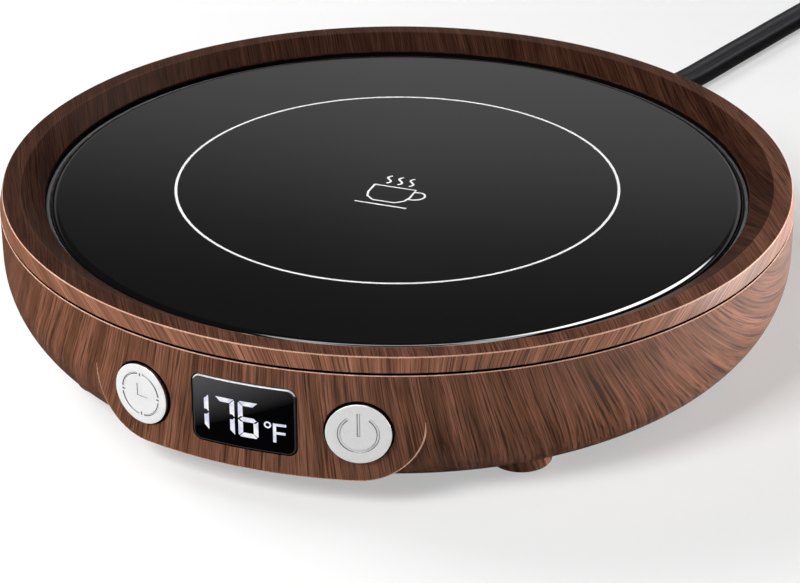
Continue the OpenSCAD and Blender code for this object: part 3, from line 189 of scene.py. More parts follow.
def swept(points, radius=0.0, outline=None, kind="BEZIER"):
    """Closed bmesh, in mm: a round rod of this radius, or the flat outline, along points."""
    made = []
    route = bpy.data.curves.new("route", "CURVE")
    route.dimensions = "3D"
    route.twist_mode = "Z_UP"
    route.use_fill_caps = True
    route.resolution_u = 4
    route.bevel_resolution = 3
    if outline:
        section = bpy.data.curves.new("section", "CURVE")
        section.dimensions = "2D"
        spline = section.splines.new("POLY")
        spline.points.add(len(outline) - 1)
        for point, (x, y) in zip(spline.points, outline):
            point.co = (x, y, 0, 1)
        spline.use_cyclic_u = True
        made.append(bpy.data.objects.new("section", section))
        route.bevel_mode = "OBJECT"
        route.bevel_object = made[0]
    else:
        route.bevel_depth = radius
    spline = route.splines.new(kind)
    knots = spline.bezier_points if kind == "BEZIER" else spline.points
    knots.add(len(points) - 1)
    for knot, place in zip(knots, points):
        if kind == "BEZIER":
            knot.co = place
            knot.handle_left_type = knot.handle_right_type = "AUTO"
        else:
            knot.co = (*place, 1)
    made.append(bpy.data.objects.new("route", route))
    bpy.context.collection.objects.link(made[-1])
    graph = bpy.context.evaluated_depsgraph_get()
    mesh = bpy.data.meshes.new_from_object(made[-1].evaluated_get(graph))
    for part in made:
        bpy.data.objects.remove(part)
    bm = bmesh.new()
    bm.from_mesh(mesh)
    for face in bm.faces:
        face.material_index = 0
    bmesh.ops.remove_doubles(bm, verts=bm.verts, dist=1e-4)
    bmesh.ops.recalc_face_normals(bm, faces=bm.faces)
    return bm


# Two round lobes, each drawn as far as the groove between them
lobe = CORD_T / 2
LOBE_STEP = 19.0
twin = []
for side, turn in ((1, 0), (-1, 180)):
    for step in range(-7, 8):
        x, y = polar(lobe, step * LOBE_STEP + turn)
        twin.append((side * (CORD_W / 2 - lobe) + x, y))
cord = piece_from(swept(cord_route, outline=twin), "mains_lead", cord_vinyl, 45.0)
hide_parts("cord_lead", "cord_coil", "cord_tail")

# ---------------------------------------- lead fittings
# Strain relief: a soft moulded sleeve, oval like the lead, with grooves across
# it so that it bends evenly. It is pressed through the wall of the bowl.


def turn_and_move(bm, angle, offset=(0, 0, 0), axis="Z"):
    """Turns a whole bmesh about an axis through the origin, then moves it."""
    bmesh.ops.rotate(bm, cent=(0, 0, 0), matrix=Matrix.Rotation(angle, 3, axis), verts=bm.verts)
    bmesh.ops.translate(bm, vec=offset, verts=bm.verts)


def oval_sleeve(sections, sides):
    """Ovals of (distance, width, thickness) joined along local +Y, ends closed."""
    bm = bmesh.new()
    first = bmesh.ops.create_circle(bm, cap_ends=True, segments=sides, radius=1.0)
    turn_and_move(bm, math.pi / 2, axis="X")
    ring = sorted(first["verts"], key=lambda v: math.atan2(v.co.z, v.co.x))
    unit = [v.co.copy() for v in ring]
    edges = [e for e in bm.edges if e.verts[0] in ring and e.verts[1] in ring]

    def shape(verts, section):
        along, width, thick = section
        for v, u in zip(verts, unit):
            shift = (width - thick) / 2 * (1 if u.x > 1e-6 else -1 if u.x < -1e-6 else 0)
            v.co = Vector((u.x * thick / 2 + shift, along, u.z * thick / 2))

    shape(ring, sections[0])
    for section in sections[1:]:
        grown = bmesh.ops.extrude_edge_only(bm, edges=edges)
        new = {g for g in grown["geom"] if isinstance(g, bmesh.types.BMVert)}
        edges = [g for g in grown["geom"] if isinstance(g, bmesh.types.BMEdge)]
        ring = [next(e.other_vert(v) for e in v.link_edges if e.other_vert(v) in new)
                for v in ring]
        shape(ring, section)
    bmesh.ops.contextual_create(bm, geom=edges)
    bmesh.ops.recalc_face_normals(bm, faces=bm.faces)
    return bm


RELIEF_ROOT = (12.6, 7.7)
RELIEF_NOSE = (8.6, 4.9)
RIBS = 6
RIB_DEPTH = 0.55
# The sleeve's outside runs this far into the wall
RELIEF_SUNK = 14
relief_sections = [(RELIEF_START - RELIEF_SUNK, *RELIEF_ROOT), (RELIEF_START, *RELIEF_ROOT)]
for rib in range(RIBS):
    for part, depth in ((0.15, 0), (0.25, 1), (0.62, 1), (0.72, 0)):
        t = (rib + 0.35 + part) / (RIBS + 1.2)
        along = RELIEF_START + t * (RELIEF_END - RELIEF_START)
        w, h = [root + t * (tip - root) - 2 * RIB_DEPTH * depth
                for root, tip in zip(RELIEF_ROOT, RELIEF_NOSE)]
        relief_sections.append((along, max(w, CORD_W + 0.5), max(h, CORD_T + 0.5)))
relief_sections.append((RELIEF_END - 0.4, *RELIEF_NOSE))
relief_sections.append((RELIEF_END, RELIEF_NOSE[0] - 0.7, RELIEF_NOSE[1] - 0.7))
bm = oval_sleeve(relief_sections, 40)
turn_and_move(bm, EXIT_TURN, (0, 0, EXIT_Z))
# Moulded vinyl: duller than the lead, with the fine spark texture of the mould
relief_vinyl = grained("moulded_vinyl", {"Roughness": 0.65, "IOR": 1.25},
                       1800, 0.35, ("#1c1c1d", "#242425"), 0.0001)
relief = piece_from(bm, "strain_relief_sleeve", relief_vinyl, 35.0)
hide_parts("strain_relief")

# Mains plug: vinyl moulded round two nickel-plated blades, with a ribbed grip
# and a soft nose that the lead runs into. The blades are the frame's own.
PLUG_AT = (130.7, 156.8, 6.0)
PLUG_TURN = math.radians(164.5)
PLUG_NOSE = 15.0
PLUG_GRIP = 24.0
PLUG_W, PLUG_T = 21.0, 12.0
plug_sections = [(0, 7.9, 4.4), (0.4, 8.6, 4.9), (4, 9.0, 5.3), (8, 10.4, 6.4),
                 (11.5, 13.2, 8.6), (14, 17.5, 10.8), (15.5, 20.0, 11.6),
                 (17.0, PLUG_W, PLUG_T)]
GRIP_FROM, GRIP_PITCH = 4.5, 3.2
GRIP_W, GRIP_T = PLUG_W - 1.2, PLUG_T - 0.8
for groove in range(4):
    start = PLUG_NOSE + GRIP_FROM + groove * GRIP_PITCH
    plug_sections += [(start, PLUG_W, PLUG_T), (start + 0.4, GRIP_W, GRIP_T),
                      (start + 1.5, GRIP_W, GRIP_T), (start + 1.9, PLUG_W, PLUG_T)]
plug_end = PLUG_NOSE + PLUG_GRIP
plug_sections += [(plug_end - 0.8, PLUG_W, PLUG_T), (plug_end - 0.25, PLUG_W - 0.5, PLUG_T - 0.5),
                  (plug_end, PLUG_W - 1.4, PLUG_T - 1.4)]
bm = oval_sleeve(plug_sections, 56)
turn_and_move(bm, PLUG_TURN, PLUG_AT)
plug = piece_from(bm, "plug_grip", relief_vinyl, 35.0)
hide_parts("plug_body")

# Band: a short strip of woven hook-and-loop tape, wrapped once round the coil
# and pressed onto itself.
TIE_TURN = math.radians(60)
TIE_W = 9.0
TIE_T = 0.45
TIE_IN, TIE_OUT = 26.4, 50.6
TIE_LOW, TIE_TOP = 0.02, 8.25
TIE_CORNER = 2.4


def bevel(bm, geom, width, segments, affect="EDGES"):
    """Rounds these edges or corners by a width in segments."""
    return bmesh.ops.bevel(bm, geom=geom, offset=width, segments=segments, profile=0.5,
                           affect=affect, material=-1)


bm = bmesh.new()
corners = [bm.verts.new((x, -TIE_W / 2, z)) for x, z in (
    (TIE_IN, TIE_LOW), (TIE_OUT, TIE_LOW), (TIE_OUT, TIE_TOP), (TIE_IN, TIE_TOP))]
bm.faces.new(corners)
bevel(bm, corners, TIE_CORNER, 6, "VERTICES")
loop = [e for e in bm.edges if e.is_boundary]
bmesh.ops.delete(bm, geom=list(bm.faces), context="FACES_ONLY")
grown = bmesh.ops.extrude_edge_only(bm, edges=loop)
bmesh.ops.translate(bm, vec=(0, TIE_W, 0),
                    verts=[g for g in grown["geom"] if isinstance(g, bmesh.types.BMVert)])
bmesh.ops.recalc_face_normals(bm, faces=bm.faces)
bmesh.ops.solidify(bm, geom=list(bm.faces), thickness=TIE_T)
bmesh.ops.recalc_face_normals(bm, faces=bm.faces)
turn_and_move(bm, TIE_TURN, (COIL_AT[0], COIL_AT[1], 0))
tape, tree, shader = new_material("woven_tape", {"Roughness": 0.95})
place = add_node(tree, "TexCoord")
# Loop pile about 0.4 mm across
pile = add_node(tree, "TexVoronoi", {"Scale": 2500}, {"Vector": place.outputs["Object"]})
bump = add_node(tree, "Bump", {"Strength": 0.6, "Distance": 0.0002}, {"Height": pile})
ramp = add_node(tree, "ValToRGB", {"stops": ((0.0, "#111112"), (1.0, "#2c2c2e"))},
                {"Fac": pile})
link(tree, shader, {"Normal": bump, "Base Color": ramp})
tie = piece_from(bm, "coil_band", tape, 50.0)
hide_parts("cord_tie")

# ---------------------------------------- wood finish
# Walnut look: ABS mouldings wrapped in a printed film with fine dark streaks
# and wider bands of tone, under a satin lacquer. Every moulding has the film
# laid its own way, so each keeps a UV map in millimetres, across and along it.


def wood_material(name, seed, colours, ior=1.12, painted_light=None):
    """Printed walnut in four tones, dark to light and the pores; seed moves the figure."""
    dark, middle, light, pore = colours
    material, tree, shader = new_material(name, {"Roughness": 0.33, "IOR": ior})
    uv = add_node(tree, "UVMap", {"uv_map": "film"})
    moved = add_node(tree, "Mapping", {"Location": (seed, seed * 1.7, 0)}, {"Vector": uv})

    def streaks(source, across, along, detail):
        scaled = add_node(tree, "Mapping", {"Scale": (1 / across, 1 / along, 1)},
                          {"Vector": source})
        return add_node(tree, "TexNoise", {
            "noise_dimensions": "2D", "Scale": 1.0, "Detail": detail, "Roughness": 0.55},
            {"Vector": scaled})

    # The whole figure wanders by up to 1 mm over some centimetres
    wander = streaks(moved, 14, 45, 1)
    centred = add_node(tree, "VectorMath", {"operation": "SUBTRACT", 1: (0.5, 0.5, 0)},
                       {0: wander.outputs["Color"]})
    spread = add_node(tree, "VectorMath", {"operation": "MULTIPLY", 1: (2.5, 0, 0)}, {0: centred})
    figure = add_node(tree, "VectorMath", {"operation": "ADD"}, {0: moved, 1: spread})
    # Tone: broad bands, a few millimetres wide, and fibres under a millimetre
    bands = streaks(figure, 2.6, 140, 2)
    fibres = streaks(figure, 0.3, 24, 2)
    tone = add_node(tree, "Math", {"operation": "MULTIPLY", 1: 0.5}, {0: fibres})
    tone = add_node(tree, "Math", {"operation": "MULTIPLY_ADD", 1: 0.5}, {0: bands, 2: tone})
    inked = add_node(tree, "ValToRGB", {"stops": ((0.34, dark), (0.5, middle), (0.66, light))},
                     {"Fac": tone})
    # Growth lines: dark, 0.2 mm wide, about 0.6 mm apart and 1 to 2 cm long; and
    # shorter pores between them
    for across, along, low, high, depth in ((0.27, 15, 0.55, 0.66, 0.75),
                                            (0.18, 6, 0.55, 0.68, 0.5)):
        mask = add_node(tree, "MapRange", {"From Min": low, "From Max": high, "To Max": depth},
                        {"Value": streaks(figure, across, along, 1)})
        inked = add_node(tree, "MixRGB", {"Color2": hex_rgb(pore)},
                         {"Fac": mask, "Color1": inked})
    if painted_light:
        # Painted light: the print gets lighter towards one side, as if lit from there: which way,
        # from and to in mm, gain
        way, start, end, gain = painted_light
        spot = add_node(tree, "TexCoord")
        reach = add_node(tree, "VectorMath", {"operation": "DOT_PRODUCT", 1: way},
                         {0: spot.outputs["Object"]})
        rise = add_node(tree, "MapRange", {
            "From Min": start * MM, "From Max": end * MM, "To Min": 1.0, "To Max": gain,
            "interpolation_type": "SMOOTHSTEP"}, {"Value": reach.outputs["Value"]})
        inked = add_node(tree, "VectorMath", {"operation": "SCALE"}, {0: inked, "Scale": rise})
    bump = add_node(tree, "Bump", {"Strength": 0.1, "Distance": 0.00005}, {"Height": tone})
    link(tree, shader, {"Normal": bump, "Base Color": inked})
    return material


WALNUT = ("#543321", "#6c442f", "#855643", "#2a150d")
WALNUT_RING = ("#664130", "#825641", "#9d6c57", "#3a2117")
# Painted shade: the rim's flat top is printed a deeper brown than the sides, and its inner slope
# deeper still, for the shade that falls on them
WALNUT_TOP_SHADE = ("#301c15", "#3f271d", "#4f3428", "#1a0d08")
WALNUT_SLOPE_SHADE = ("#2a1711", "#372118", "#462d22", "#170b06")
# Rounded edges are printed in a pale film: a painted highlight along each edge
WALNUT_EDGE_HIGHLIGHT = ("#b08672", "#c49c88", "#d6b09c", "#a87f6b")
edge_highlight_wood = wood_material("walnut_print_edge_highlight", 3.0, WALNUT_EDGE_HIGHLIGHT)
# Cut and hidden walls have no film: the bare moulding, nearly black; in the seam, the button
# holes and the window's gap it also stands in for their shade, as painted shade
bare_abs_gap_shade = grained("bare_black_abs_gap_shade", {"Roughness": 0.6, "IOR": 1.05}, 1500, 0.2,
                   ("#080505", "#0d0908"))


def lay_film(piece, across_along):
    """UV map 'film': across_along(place in mm, face normal) gives each corner's spot."""
    mesh = piece.data
    layer = mesh.uv_layers.new(name="film")
    for face in mesh.polygons:
        for loop in face.loop_indices:
            place = mesh.vertices[mesh.loops[loop].vertex_index].co / MM
            layer.data[loop].uv = across_along(place, face.normal)


# ---------------------------------------- rim ring
# Top moulding: flat rim, sloping inside face and the ledge that carries the
# glass. Its spigot fits into the bowl and four screws from below hold it.
BODY_R = 75.6
BODY_H = 30.0
RIM_R = 75.0
LAND_R = 71.6
POCKET_R = 67.1
SLOPE_LOW = 27.35
SEAT_Z = 23.5
LEDGE_Z = 21.7
LEDGE_R = 57.0
SPIGOT_R = 72.85
PART_Z = 26.9
# The dark seam: the ring's lower edge, and how deep the gap goes
RING_LOW = 27.2
SEAM_R = 75.2
RIM_SOFT = 0.22


def spun(profile, steps):
    """Solid of revolution about Z from (radius, height) points, on the axis or a closed loop."""
    bm = bmesh.new()
    ring = [bm.verts.new((r, 0, z)) for r, z in profile]
    edges = [bm.edges.new(pair) for pair in zip(ring, ring[1:])]
    if profile[0][0] > 0:
        edges.append(bm.edges.new((ring[-1], ring[0])))
    bmesh.ops.spin(bm, geom=ring + edges, cent=(0, 0, 0), axis=(0, 0, 1), dvec=(0, 0, 0),
                   angle=2 * math.pi, steps=steps, use_merge=True, use_duplicate=False)
    bmesh.ops.remove_doubles(bm, verts=bm.verts, dist=1e-5)
    bmesh.ops.recalc_face_normals(bm, faces=bm.faces)
    return bm


def soften_rings(bm, rings):
    """Bevels the round edges at each (radius, height) by a width in segments."""
    for radius, height, width, segments in rings:
        picked = [e for e in bm.edges if all(
            abs(v.co.z - height) < 1e-3 and abs(math.hypot(v.co.x, v.co.y) - radius) < 1e-3
            for v in e.verts)]
        bevel(bm, picked, width, segments)


bm = spun([(RIM_R, BODY_H), (BODY_R, RING_LOW), (SEAM_R, RING_LOW), (SEAM_R, PART_Z),
           (SPIGOT_R, PART_Z), (SPIGOT_R, LEDGE_Z), (LEDGE_R, LEDGE_Z), (LEDGE_R, SEAT_Z),
           (POCKET_R, SEAT_Z), (POCKET_R, SLOPE_LOW), (LAND_R, BODY_H)], 320)
soften_rings(bm, [(RIM_R, BODY_H, RIM_SOFT, 3), (LAND_R, BODY_H, 0.14, 2),
                  (POCKET_R, SLOPE_LOW, 0.25, 3), (BODY_R, RING_LOW, 0.1, 2)])
ring_wood = wood_material("walnut_print_ring", 31.0, WALNUT_RING, 1.3)
slope_shade_wood = wood_material("walnut_print_slope_painted_shade", 31.0, WALNUT_SLOPE_SHADE, 1.04)
# The rim's flat top is painted lighter towards the right front: painted light
LIT_SIDE_TURN = -28
LIT_FROM, LIT_TO = -15, 55
LIT_GAIN = 2.5
top_shade_wood = wood_material("walnut_print_rim_top_painted_shade", 31.0, WALNUT_TOP_SHADE, 1.08,
                         ((*polar(1, LIT_SIDE_TURN), 0), LIT_FROM, LIT_TO, LIT_GAIN))
for face in bm.faces:
    spot = face.calc_center_median()
    radius = math.hypot(spot.x, spot.y)
    # Hidden faces and the seam take the bare moulding, near-black also as painted shade in the
    # seam
    if spot.z < RING_LOW - 0.1 or radius < POCKET_R - 0.05 or face.normal.z < -0.3:
        face.material_index = 3
    # The inner slope takes the darkest print: painted shade
    elif radius < LAND_R - 0.1:
        face.material_index = 4
    # The flat top takes the deeper print: painted shade, painted lighter towards the right front
    elif face.normal.z > 0.8:
        face.material_index = 1
    # The outer top edge takes the pale film: a painted highlight
    elif radius > LAND_R and spot.z > BODY_H - RIM_SOFT:
        face.material_index = 2
ring = piece_from(bm, "rim_ring", (ring_wood, top_shade_wood, edge_highlight_wood, bare_abs_gap_shade, slope_shade_wood),
                  40.0)
GRAIN_TURN = math.radians(-60)
# The way the panel faces
FRONT = math.radians(-69.7)


def ring_film(place, normal):
    if normal.z > 0.55:
        across = -place.x * math.sin(GRAIN_TURN) + place.y * math.cos(GRAIN_TURN)
        along = place.x * math.cos(GRAIN_TURN) + place.y * math.sin(GRAIN_TURN)
        return across, along
    turn = math.atan2(place.y, place.x) - FRONT
    depth = BODY_H - place.z
    return (BODY_R + 1.8 * depth) * math.sin(turn), 25 * math.cos(turn) - depth + 200


lay_film(ring, ring_film)
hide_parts("top_ring")

# ---------------------------------------- bowl and panel
# Lower moulding: the bowl, the curved panel that stands out of it at the front
# with its window and button holes, and four feet moulded on the underside. Four
# long screws through the feet hold it to the ring.
ROUND_AT = (57.6, 18.0)
ROUND_R = 18.0
WALL = 2.6
BASE_Z, FLOOR_Z = 2.0, 4.6
# The lip at the seam: where it starts to lean in, and its upper edge
LIP_LOW, LIP_R, LIP_TOP = 26.56, 75.48, 26.7
MOUTH_R = 73.0
# Opening for the base cover, with a seat round it
COVER_R = 54.0
COVER_SEAT_R, COVER_SEAT_Z = 48.8, 3.8
COVER_RIM_R, COVER_RIM_Z = 56.4, 6.0
PANEL_W = 61.4
PANEL_LOW, PANEL_TOP = 6.1, 26.0
PANEL_DEEP = 26.0
PANEL_CORNER = 11.0
PANEL_SOFT = 0.24
# Above this height the panel is flush with the bowl, so its front steps back
FLUSH_Z, FLUSH_BACK = 17.6, 0.3
HOLLOW_TOP, HOLLOW_DEEP = 27.5, 30.0
BUTTON_TURN = 15.3
CONTROL_Z = 15.7
BORE_R = 5.95
GUIDE_R = 5.88
# Along the bore: its ends, the step that stops the stem, and the flared mouth
BORE_FROM, BORE_TO = 60.0, 80.0
BORE_STEP = 74.4
MOUTH_FROM, MOUTH_TO, FLARE = 75.4, 75.62, 0.1
WINDOW_W = 19.0
WINDOW_LOW, WINDOW_TOP = 10.2, 22.8
WINDOW_CORNER = 1.6
WINDOW_DEEP = 9.0
WINDOW_GAP = 0.22


def cut(bm, point, normal, drop=False):
    """Cuts a bmesh along a plane, and drops what the normal points to if asked."""
    bmesh.ops.bisect_plane(bm, geom=[*bm.verts, *bm.edges, *bm.faces], plane_co=point,
                           plane_no=normal, clear_outer=drop, dist=1e-4)


def thicken(bm, offset):
    """Extrudes all faces of a flat bmesh by this offset into a closed solid."""
    grown = bmesh.ops.extrude_face_region(bm, geom=list(bm.faces))
    bmesh.ops.translate(bm, vec=offset,
                        verts=[g for g in grown["geom"] if isinstance(g, bmesh.types.BMVert)])
    bmesh.ops.recalc_face_normals(bm, faces=bm.faces)


def take_in(bm, other):
    """Adds another bmesh to this one and frees it."""
    mesh = bpy.data.meshes.new("part")
    other.to_mesh(mesh)
    other.free()
    bm.from_mesh(mesh)


def bowl_arc(radius, low, steps):
    """Points of the bowl's round from the height low up to where it stands straight."""
    first = math.degrees(math.asin((low - ROUND_AT[1]) / radius))
    points = [polar(radius, first * (1 - i / steps)) for i in range(steps + 1)]
    return [(ROUND_AT[0] + x, ROUND_AT[1] + y) for x, y in points]


def bent_prism(width, low, high, lower_corner, upper_corner, depth, front_r, front_bevel,
               pitch=2.0, bevel_top=True):
    """Prism behind a rounded outline in X and Z, its front bent to the radius front_r."""
    bm = bmesh.new()
    half = width / 2
    corners = [bm.verts.new((x, 0, z)) for x, z in (
        (-half, low), (half, low), (half, high), (-half, high))]
    bm.faces.new(corners)
    for pair, radius in ((corners[:2], lower_corner), (corners[2:], upper_corner)):
        if radius:
            bevel(bm, pair, radius, 14, "VERTICES")
    thicken(bm, (0, -depth, 0))
    if front_bevel:
        edges = [e for e in bm.edges if all(abs(v.co.y + depth) < 1e-6 for v in e.verts)
                 and (bevel_top or any(v.co.z < high - 1e-4 for v in e.verts))]
        for face in bevel(bm, edges, front_bevel, 4)["faces"]:
            face.material_index = 1
    strips = int(width / pitch)
    for step in range(strips + 1):
        cut(bm, (-half + (width - strips * pitch) / 2 + step * pitch, 0, 0), (1, 0, 0))
    for v in bm.verts:
        v.co.y += depth - math.sqrt(front_r * front_r - v.co.x * v.co.x)
    return bm


# The bowl's second finish is the pale film: a painted highlight on the panel's bevel and the lip
BOWL_FINISHES = (wood_material("walnut_print_bowl", 7.0, WALNUT, 1.45), edge_highlight_wood, bare_abs_gap_shade)


def at_button(bm, side):
    """Turns a shape made round +Z, outwards, to the button on the left (-1) or right (1)."""
    turn_and_move(bm, math.pi / 2, axis="X")
    turn_and_move(bm, math.radians(side * BUTTON_TURN), (0, 0, CONTROL_Z))


def combine(target, tool, operation, finishes):
    """Applies one boolean of bmesh tool to bmesh target and returns the new bmesh."""
    made = []
    for label, bm in (("target", target), ("tool", tool)):
        mesh = bpy.data.meshes.new(label)
        for finish in finishes:
            mesh.materials.append(finish)
        bm.to_mesh(mesh)
        bm.free()
        part = bpy.data.objects.new(label, mesh)
        bpy.context.collection.objects.link(part)
        made.append(part)
    modifier = made[0].modifiers.new("join", "BOOLEAN")
    modifier.operation = operation
    modifier.solver = "EXACT"
    modifier.object = made[1]
    graph = bpy.context.evaluated_depsgraph_get()
    result = bpy.data.meshes.new_from_object(made[0].evaluated_get(graph))
    for part in made:
        bpy.data.objects.remove(part)
    bm = bmesh.new()
    bm.from_mesh(result)
    return bm


outside = bowl_arc(ROUND_R, BASE_Z, 22)
inside = bowl_arc(ROUND_R - WALL, FLOOR_Z, 14)
shell = spun(
    [(COVER_R, BASE_Z), *outside, (BODY_R, LIP_LOW), (LIP_R, LIP_TOP), (SEAM_R, LIP_TOP),
     (SEAM_R, PART_Z), (MOUTH_R, PART_Z), *inside[::-1], (COVER_RIM_R, FLOOR_Z),
     (COVER_RIM_R, COVER_RIM_Z), (COVER_SEAT_R, COVER_RIM_Z), (COVER_SEAT_R, COVER_SEAT_Z),
     (COVER_R, COVER_SEAT_Z)], 288)
soften_rings(shell, [(outside[0][0], BASE_Z, 0.5, 3)])
for face in shell.faces:
    spot = face.calc_center_median()
    radius = math.hypot(spot.x, spot.y)
    inward = -face.normal.dot(Vector((spot.x, spot.y, 0)))
    # Seam, hidden and inner faces take the bare moulding, near-black also as painted shade in the
    # seam
    if spot.z > LIP_TOP - 0.02 or radius < COVER_R - 0.1 or inward > 1:
        face.material_index = 2
    # The lip's chamfer takes the pale film: a painted highlight
    elif spot.z > LIP_LOW:
        face.material_index = 1
slab = bent_prism(PANEL_W, PANEL_LOW, PANEL_TOP, PANEL_CORNER, 0, PANEL_DEEP, BODY_R,
                  PANEL_SOFT, bevel_top=False)
cut(slab, (0, 0, FLUSH_Z), (0, 0, 1))
for v in slab.verts:
    if v.co.z > FLUSH_Z + 0.1:
        v.co.y += FLUSH_BACK
shell = combine(shell, slab, "UNION", BOWL_FINISHES)
hollow = bent_prism(PANEL_W - 2 * WALL, PANEL_LOW + WALL, HOLLOW_TOP, PANEL_CORNER - WALL, 0,
                    HOLLOW_DEEP, BODY_R - WALL, 0)
shell = combine(shell, hollow, "DIFFERENCE", BOWL_FINISHES)
window = bent_prism(WINDOW_W + 2 * WINDOW_GAP, WINDOW_LOW - WINDOW_GAP, WINDOW_TOP + WINDOW_GAP,
                    WINDOW_CORNER + WINDOW_GAP, WINDOW_CORNER + WINDOW_GAP, WINDOW_DEEP,
                    BODY_R + 3, 0)
# The window's gap walls take the bare moulding, near-black also as painted shade
for face in window.faces:
    face.material_index = 2
shell = combine(shell, window, "DIFFERENCE", BOWL_FINISHES)
for side in (-1, 1):
    bore = spun([(0, BORE_FROM), (GUIDE_R, BORE_FROM), (GUIDE_R, BORE_STEP), (BORE_R, BORE_STEP),
                 (BORE_R, MOUTH_FROM), (BORE_R + FLARE, MOUTH_TO), (BORE_R + FLARE, BORE_TO),
                 (0, BORE_TO)], 72)
    for v in bore.verts:
        if MOUTH_FROM - 0.5 < v.co.z < MOUTH_TO + 0.5:
            v.co.z += math.sqrt(BODY_R ** 2 - v.co.x ** 2) - BODY_R
    # Hole walls take the bare moulding, near-black also as painted shade
    for face in bore.faces:
        face.material_index = 2 if face.calc_center_median().z < MOUTH_FROM else 0
    at_button(bore, side)
    shell = combine(shell, bore, "DIFFERENCE", BOWL_FINISHES)
FOOT_AT = (40.25, 46.63)
FOOT_R = 5.7
FOOT_LOW, FOOT_TOP = 0.4, 4.2
PAD_R, PAD_Z = 4.5, 1.2
for x, y in ((-1, -1), (-1, 1), (1, -1), (1, 1)):
    foot = spun([(0, FOOT_TOP), (0, PAD_Z), (PAD_R, PAD_Z), (PAD_R, FOOT_LOW),
                 (FOOT_R, FOOT_LOW), (FOOT_R, FOOT_TOP)], 64)
    soften_rings(foot, [(FOOT_R, FOOT_LOW, 0.5, 4)])
    turn_and_move(foot, 0, (x * FOOT_AT[0], y * FOOT_AT[1], 0))
    take_in(shell, foot)
bowl = piece_from(shell, "bowl", BOWL_FINISHES, 28.0)
FILM_TURN = math.radians(14)


def bowl_film(place, normal):
    turn = math.atan2(place.y, place.x) - FRONT + FILM_TURN
    depth = PART_Z - place.z
    return (BODY_R - 0.6 * depth) * math.sin(turn), 25 * math.cos(turn) - depth


lay_film(bowl, bowl_film)
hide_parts("lower_housing")

# ---------------------------------------- hotplate
# Toughened glass disc, black enamel on its underside, with a polished round
# edge. It lies on a silicone seal, on the ring's ledge.
GLASS_R = 66.2
GLASS_LOW, GLASS_TOP = 24.0, 27.0
GLASS_ROUND = 1.5
bm = spun([(0, GLASS_LOW), (GLASS_R, GLASS_LOW), (GLASS_R, GLASS_TOP), (0, GLASS_TOP)], 320)
soften_rings(bm, [(GLASS_R, GLASS_TOP, GLASS_ROUND, 12)])
# The enamel's black is a shade uneven, and the float glass waves a little over 3 cm
black_glass = grained("enamelled_glass", {"Roughness": 0.06, "IOR": 1.52},
                      33.0, 0.02, ("#0a0a0b", "#0c0c0d"), detail=2.0)
glass = piece_from(bm, "hotplate_glass", black_glass, 40.0)
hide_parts("glass_plate")

# Seal: an L-shaped silicone ring between the ledge and the glass, lip upwards
SEAL_IN, SEAL_LIP, SEAL_OUT = 57.4, 66.3, 67.0
SEAL_TOP = 26.3
bm = spun([(SEAL_IN, SEAT_Z), (SEAL_OUT, SEAT_Z), (SEAL_OUT, SEAL_TOP), (SEAL_LIP, SEAL_TOP),
           (SEAL_LIP, GLASS_LOW), (SEAL_IN, GLASS_LOW)], 192)
soften_rings(bm, [(SEAL_OUT, SEAL_TOP, 0.2, 2), (SEAL_LIP, SEAL_TOP, 0.2, 2)])
silicone = grained("black_silicone", {"Roughness": 0.8}, 2500, 0.3,
                   ("#0b0b0b", "#131313"), 0.0001)
seal = piece_from(bm, "seal_lip", silicone, 40.0)
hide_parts("glass_seal")

# Screen print: a thin ring and a small steaming cup in its middle, in white
# enamel fired onto the glass.
PRINT_RISE = 0.02
RING_R = 42.4
RING_LINE = 0.5
CUP_AT = (0.3, -6.1)
CUP_LINE = 0.42
white_enamel = grained("white_enamel_print", {"Roughness": 0.45}, 3000, 0.1,
                       ("#f0f0f0", "#ffffff"))
line_in, line_out = RING_R - RING_LINE / 2, RING_R + RING_LINE / 2
low, high = GLASS_TOP - PRINT_RISE, GLASS_TOP + PRINT_RISE
prints = spun([(line_in, low), (line_out, low), (line_out, high), (line_in, high)], 256)
steam = [(0.55 * math.sin(step * 0.9), 5.4 + step * 0.5) for step in range(8)]
cup_lines = [
    [(-4.2, 4.2), (-4.2, 0.6), (-3.7, -1.1), (-2.2, -2.4), (2.2, -2.4), (3.7, -1.1),
     (4.2, 0.6), (4.2, 4.2), (-4.2, 4.2)],
    [(4.3, 3.2), (5.9, 3.3), (6.7, 2.2), (6.4, 0.8), (5.2, 0.0), (4.1, -0.1)],
    [(-5.2, -4.0), (5.2, -4.0)]]
cup_lines += [[(x + shift, y) for x, y in steam] for shift in (-2.3, 0, 2.3)]
for index, line in enumerate(cup_lines):
    kind = "POLY" if index in (0, 2) else "BEZIER"
    stroke = swept([(x, y, 0) for x, y in line], CUP_LINE / 2, None, kind)
    bmesh.ops.scale(stroke, vec=(1, 1, 2 * PRINT_RISE / CUP_LINE), verts=stroke.verts)
    turn_and_move(stroke, 0, (*CUP_AT, GLASS_TOP))
    take_in(prints, stroke)
print_piece = piece_from(prints, "glass_print", white_enamel, 60.0)

# ---------------------------------------- display
# Smoked polycarbonate window, bent like the panel, with a polished bevel. It is
# set into the panel's opening, and the figures are lit segments close behind it.
LENS_R = 75.77
LENS_DEEP = 3.2
LENS_SOFT = 0.3
bm = bent_prism(WINDOW_W, WINDOW_LOW, WINDOW_TOP, WINDOW_CORNER, WINDOW_CORNER, LENS_DEEP,
                LENS_R, LENS_SOFT, 1.0)
# The upward-facing chamfer takes a bright grey and the rest a dark grey: painted highlight and
# painted shade
for face in bm.faces:
    if face.material_index and face.normal.z > 0.25:
        face.material_index = 2
smoked, tree, shader = new_material("smoked_polycarbonate", {"Roughness": 0.1, "IOR": 1.12})
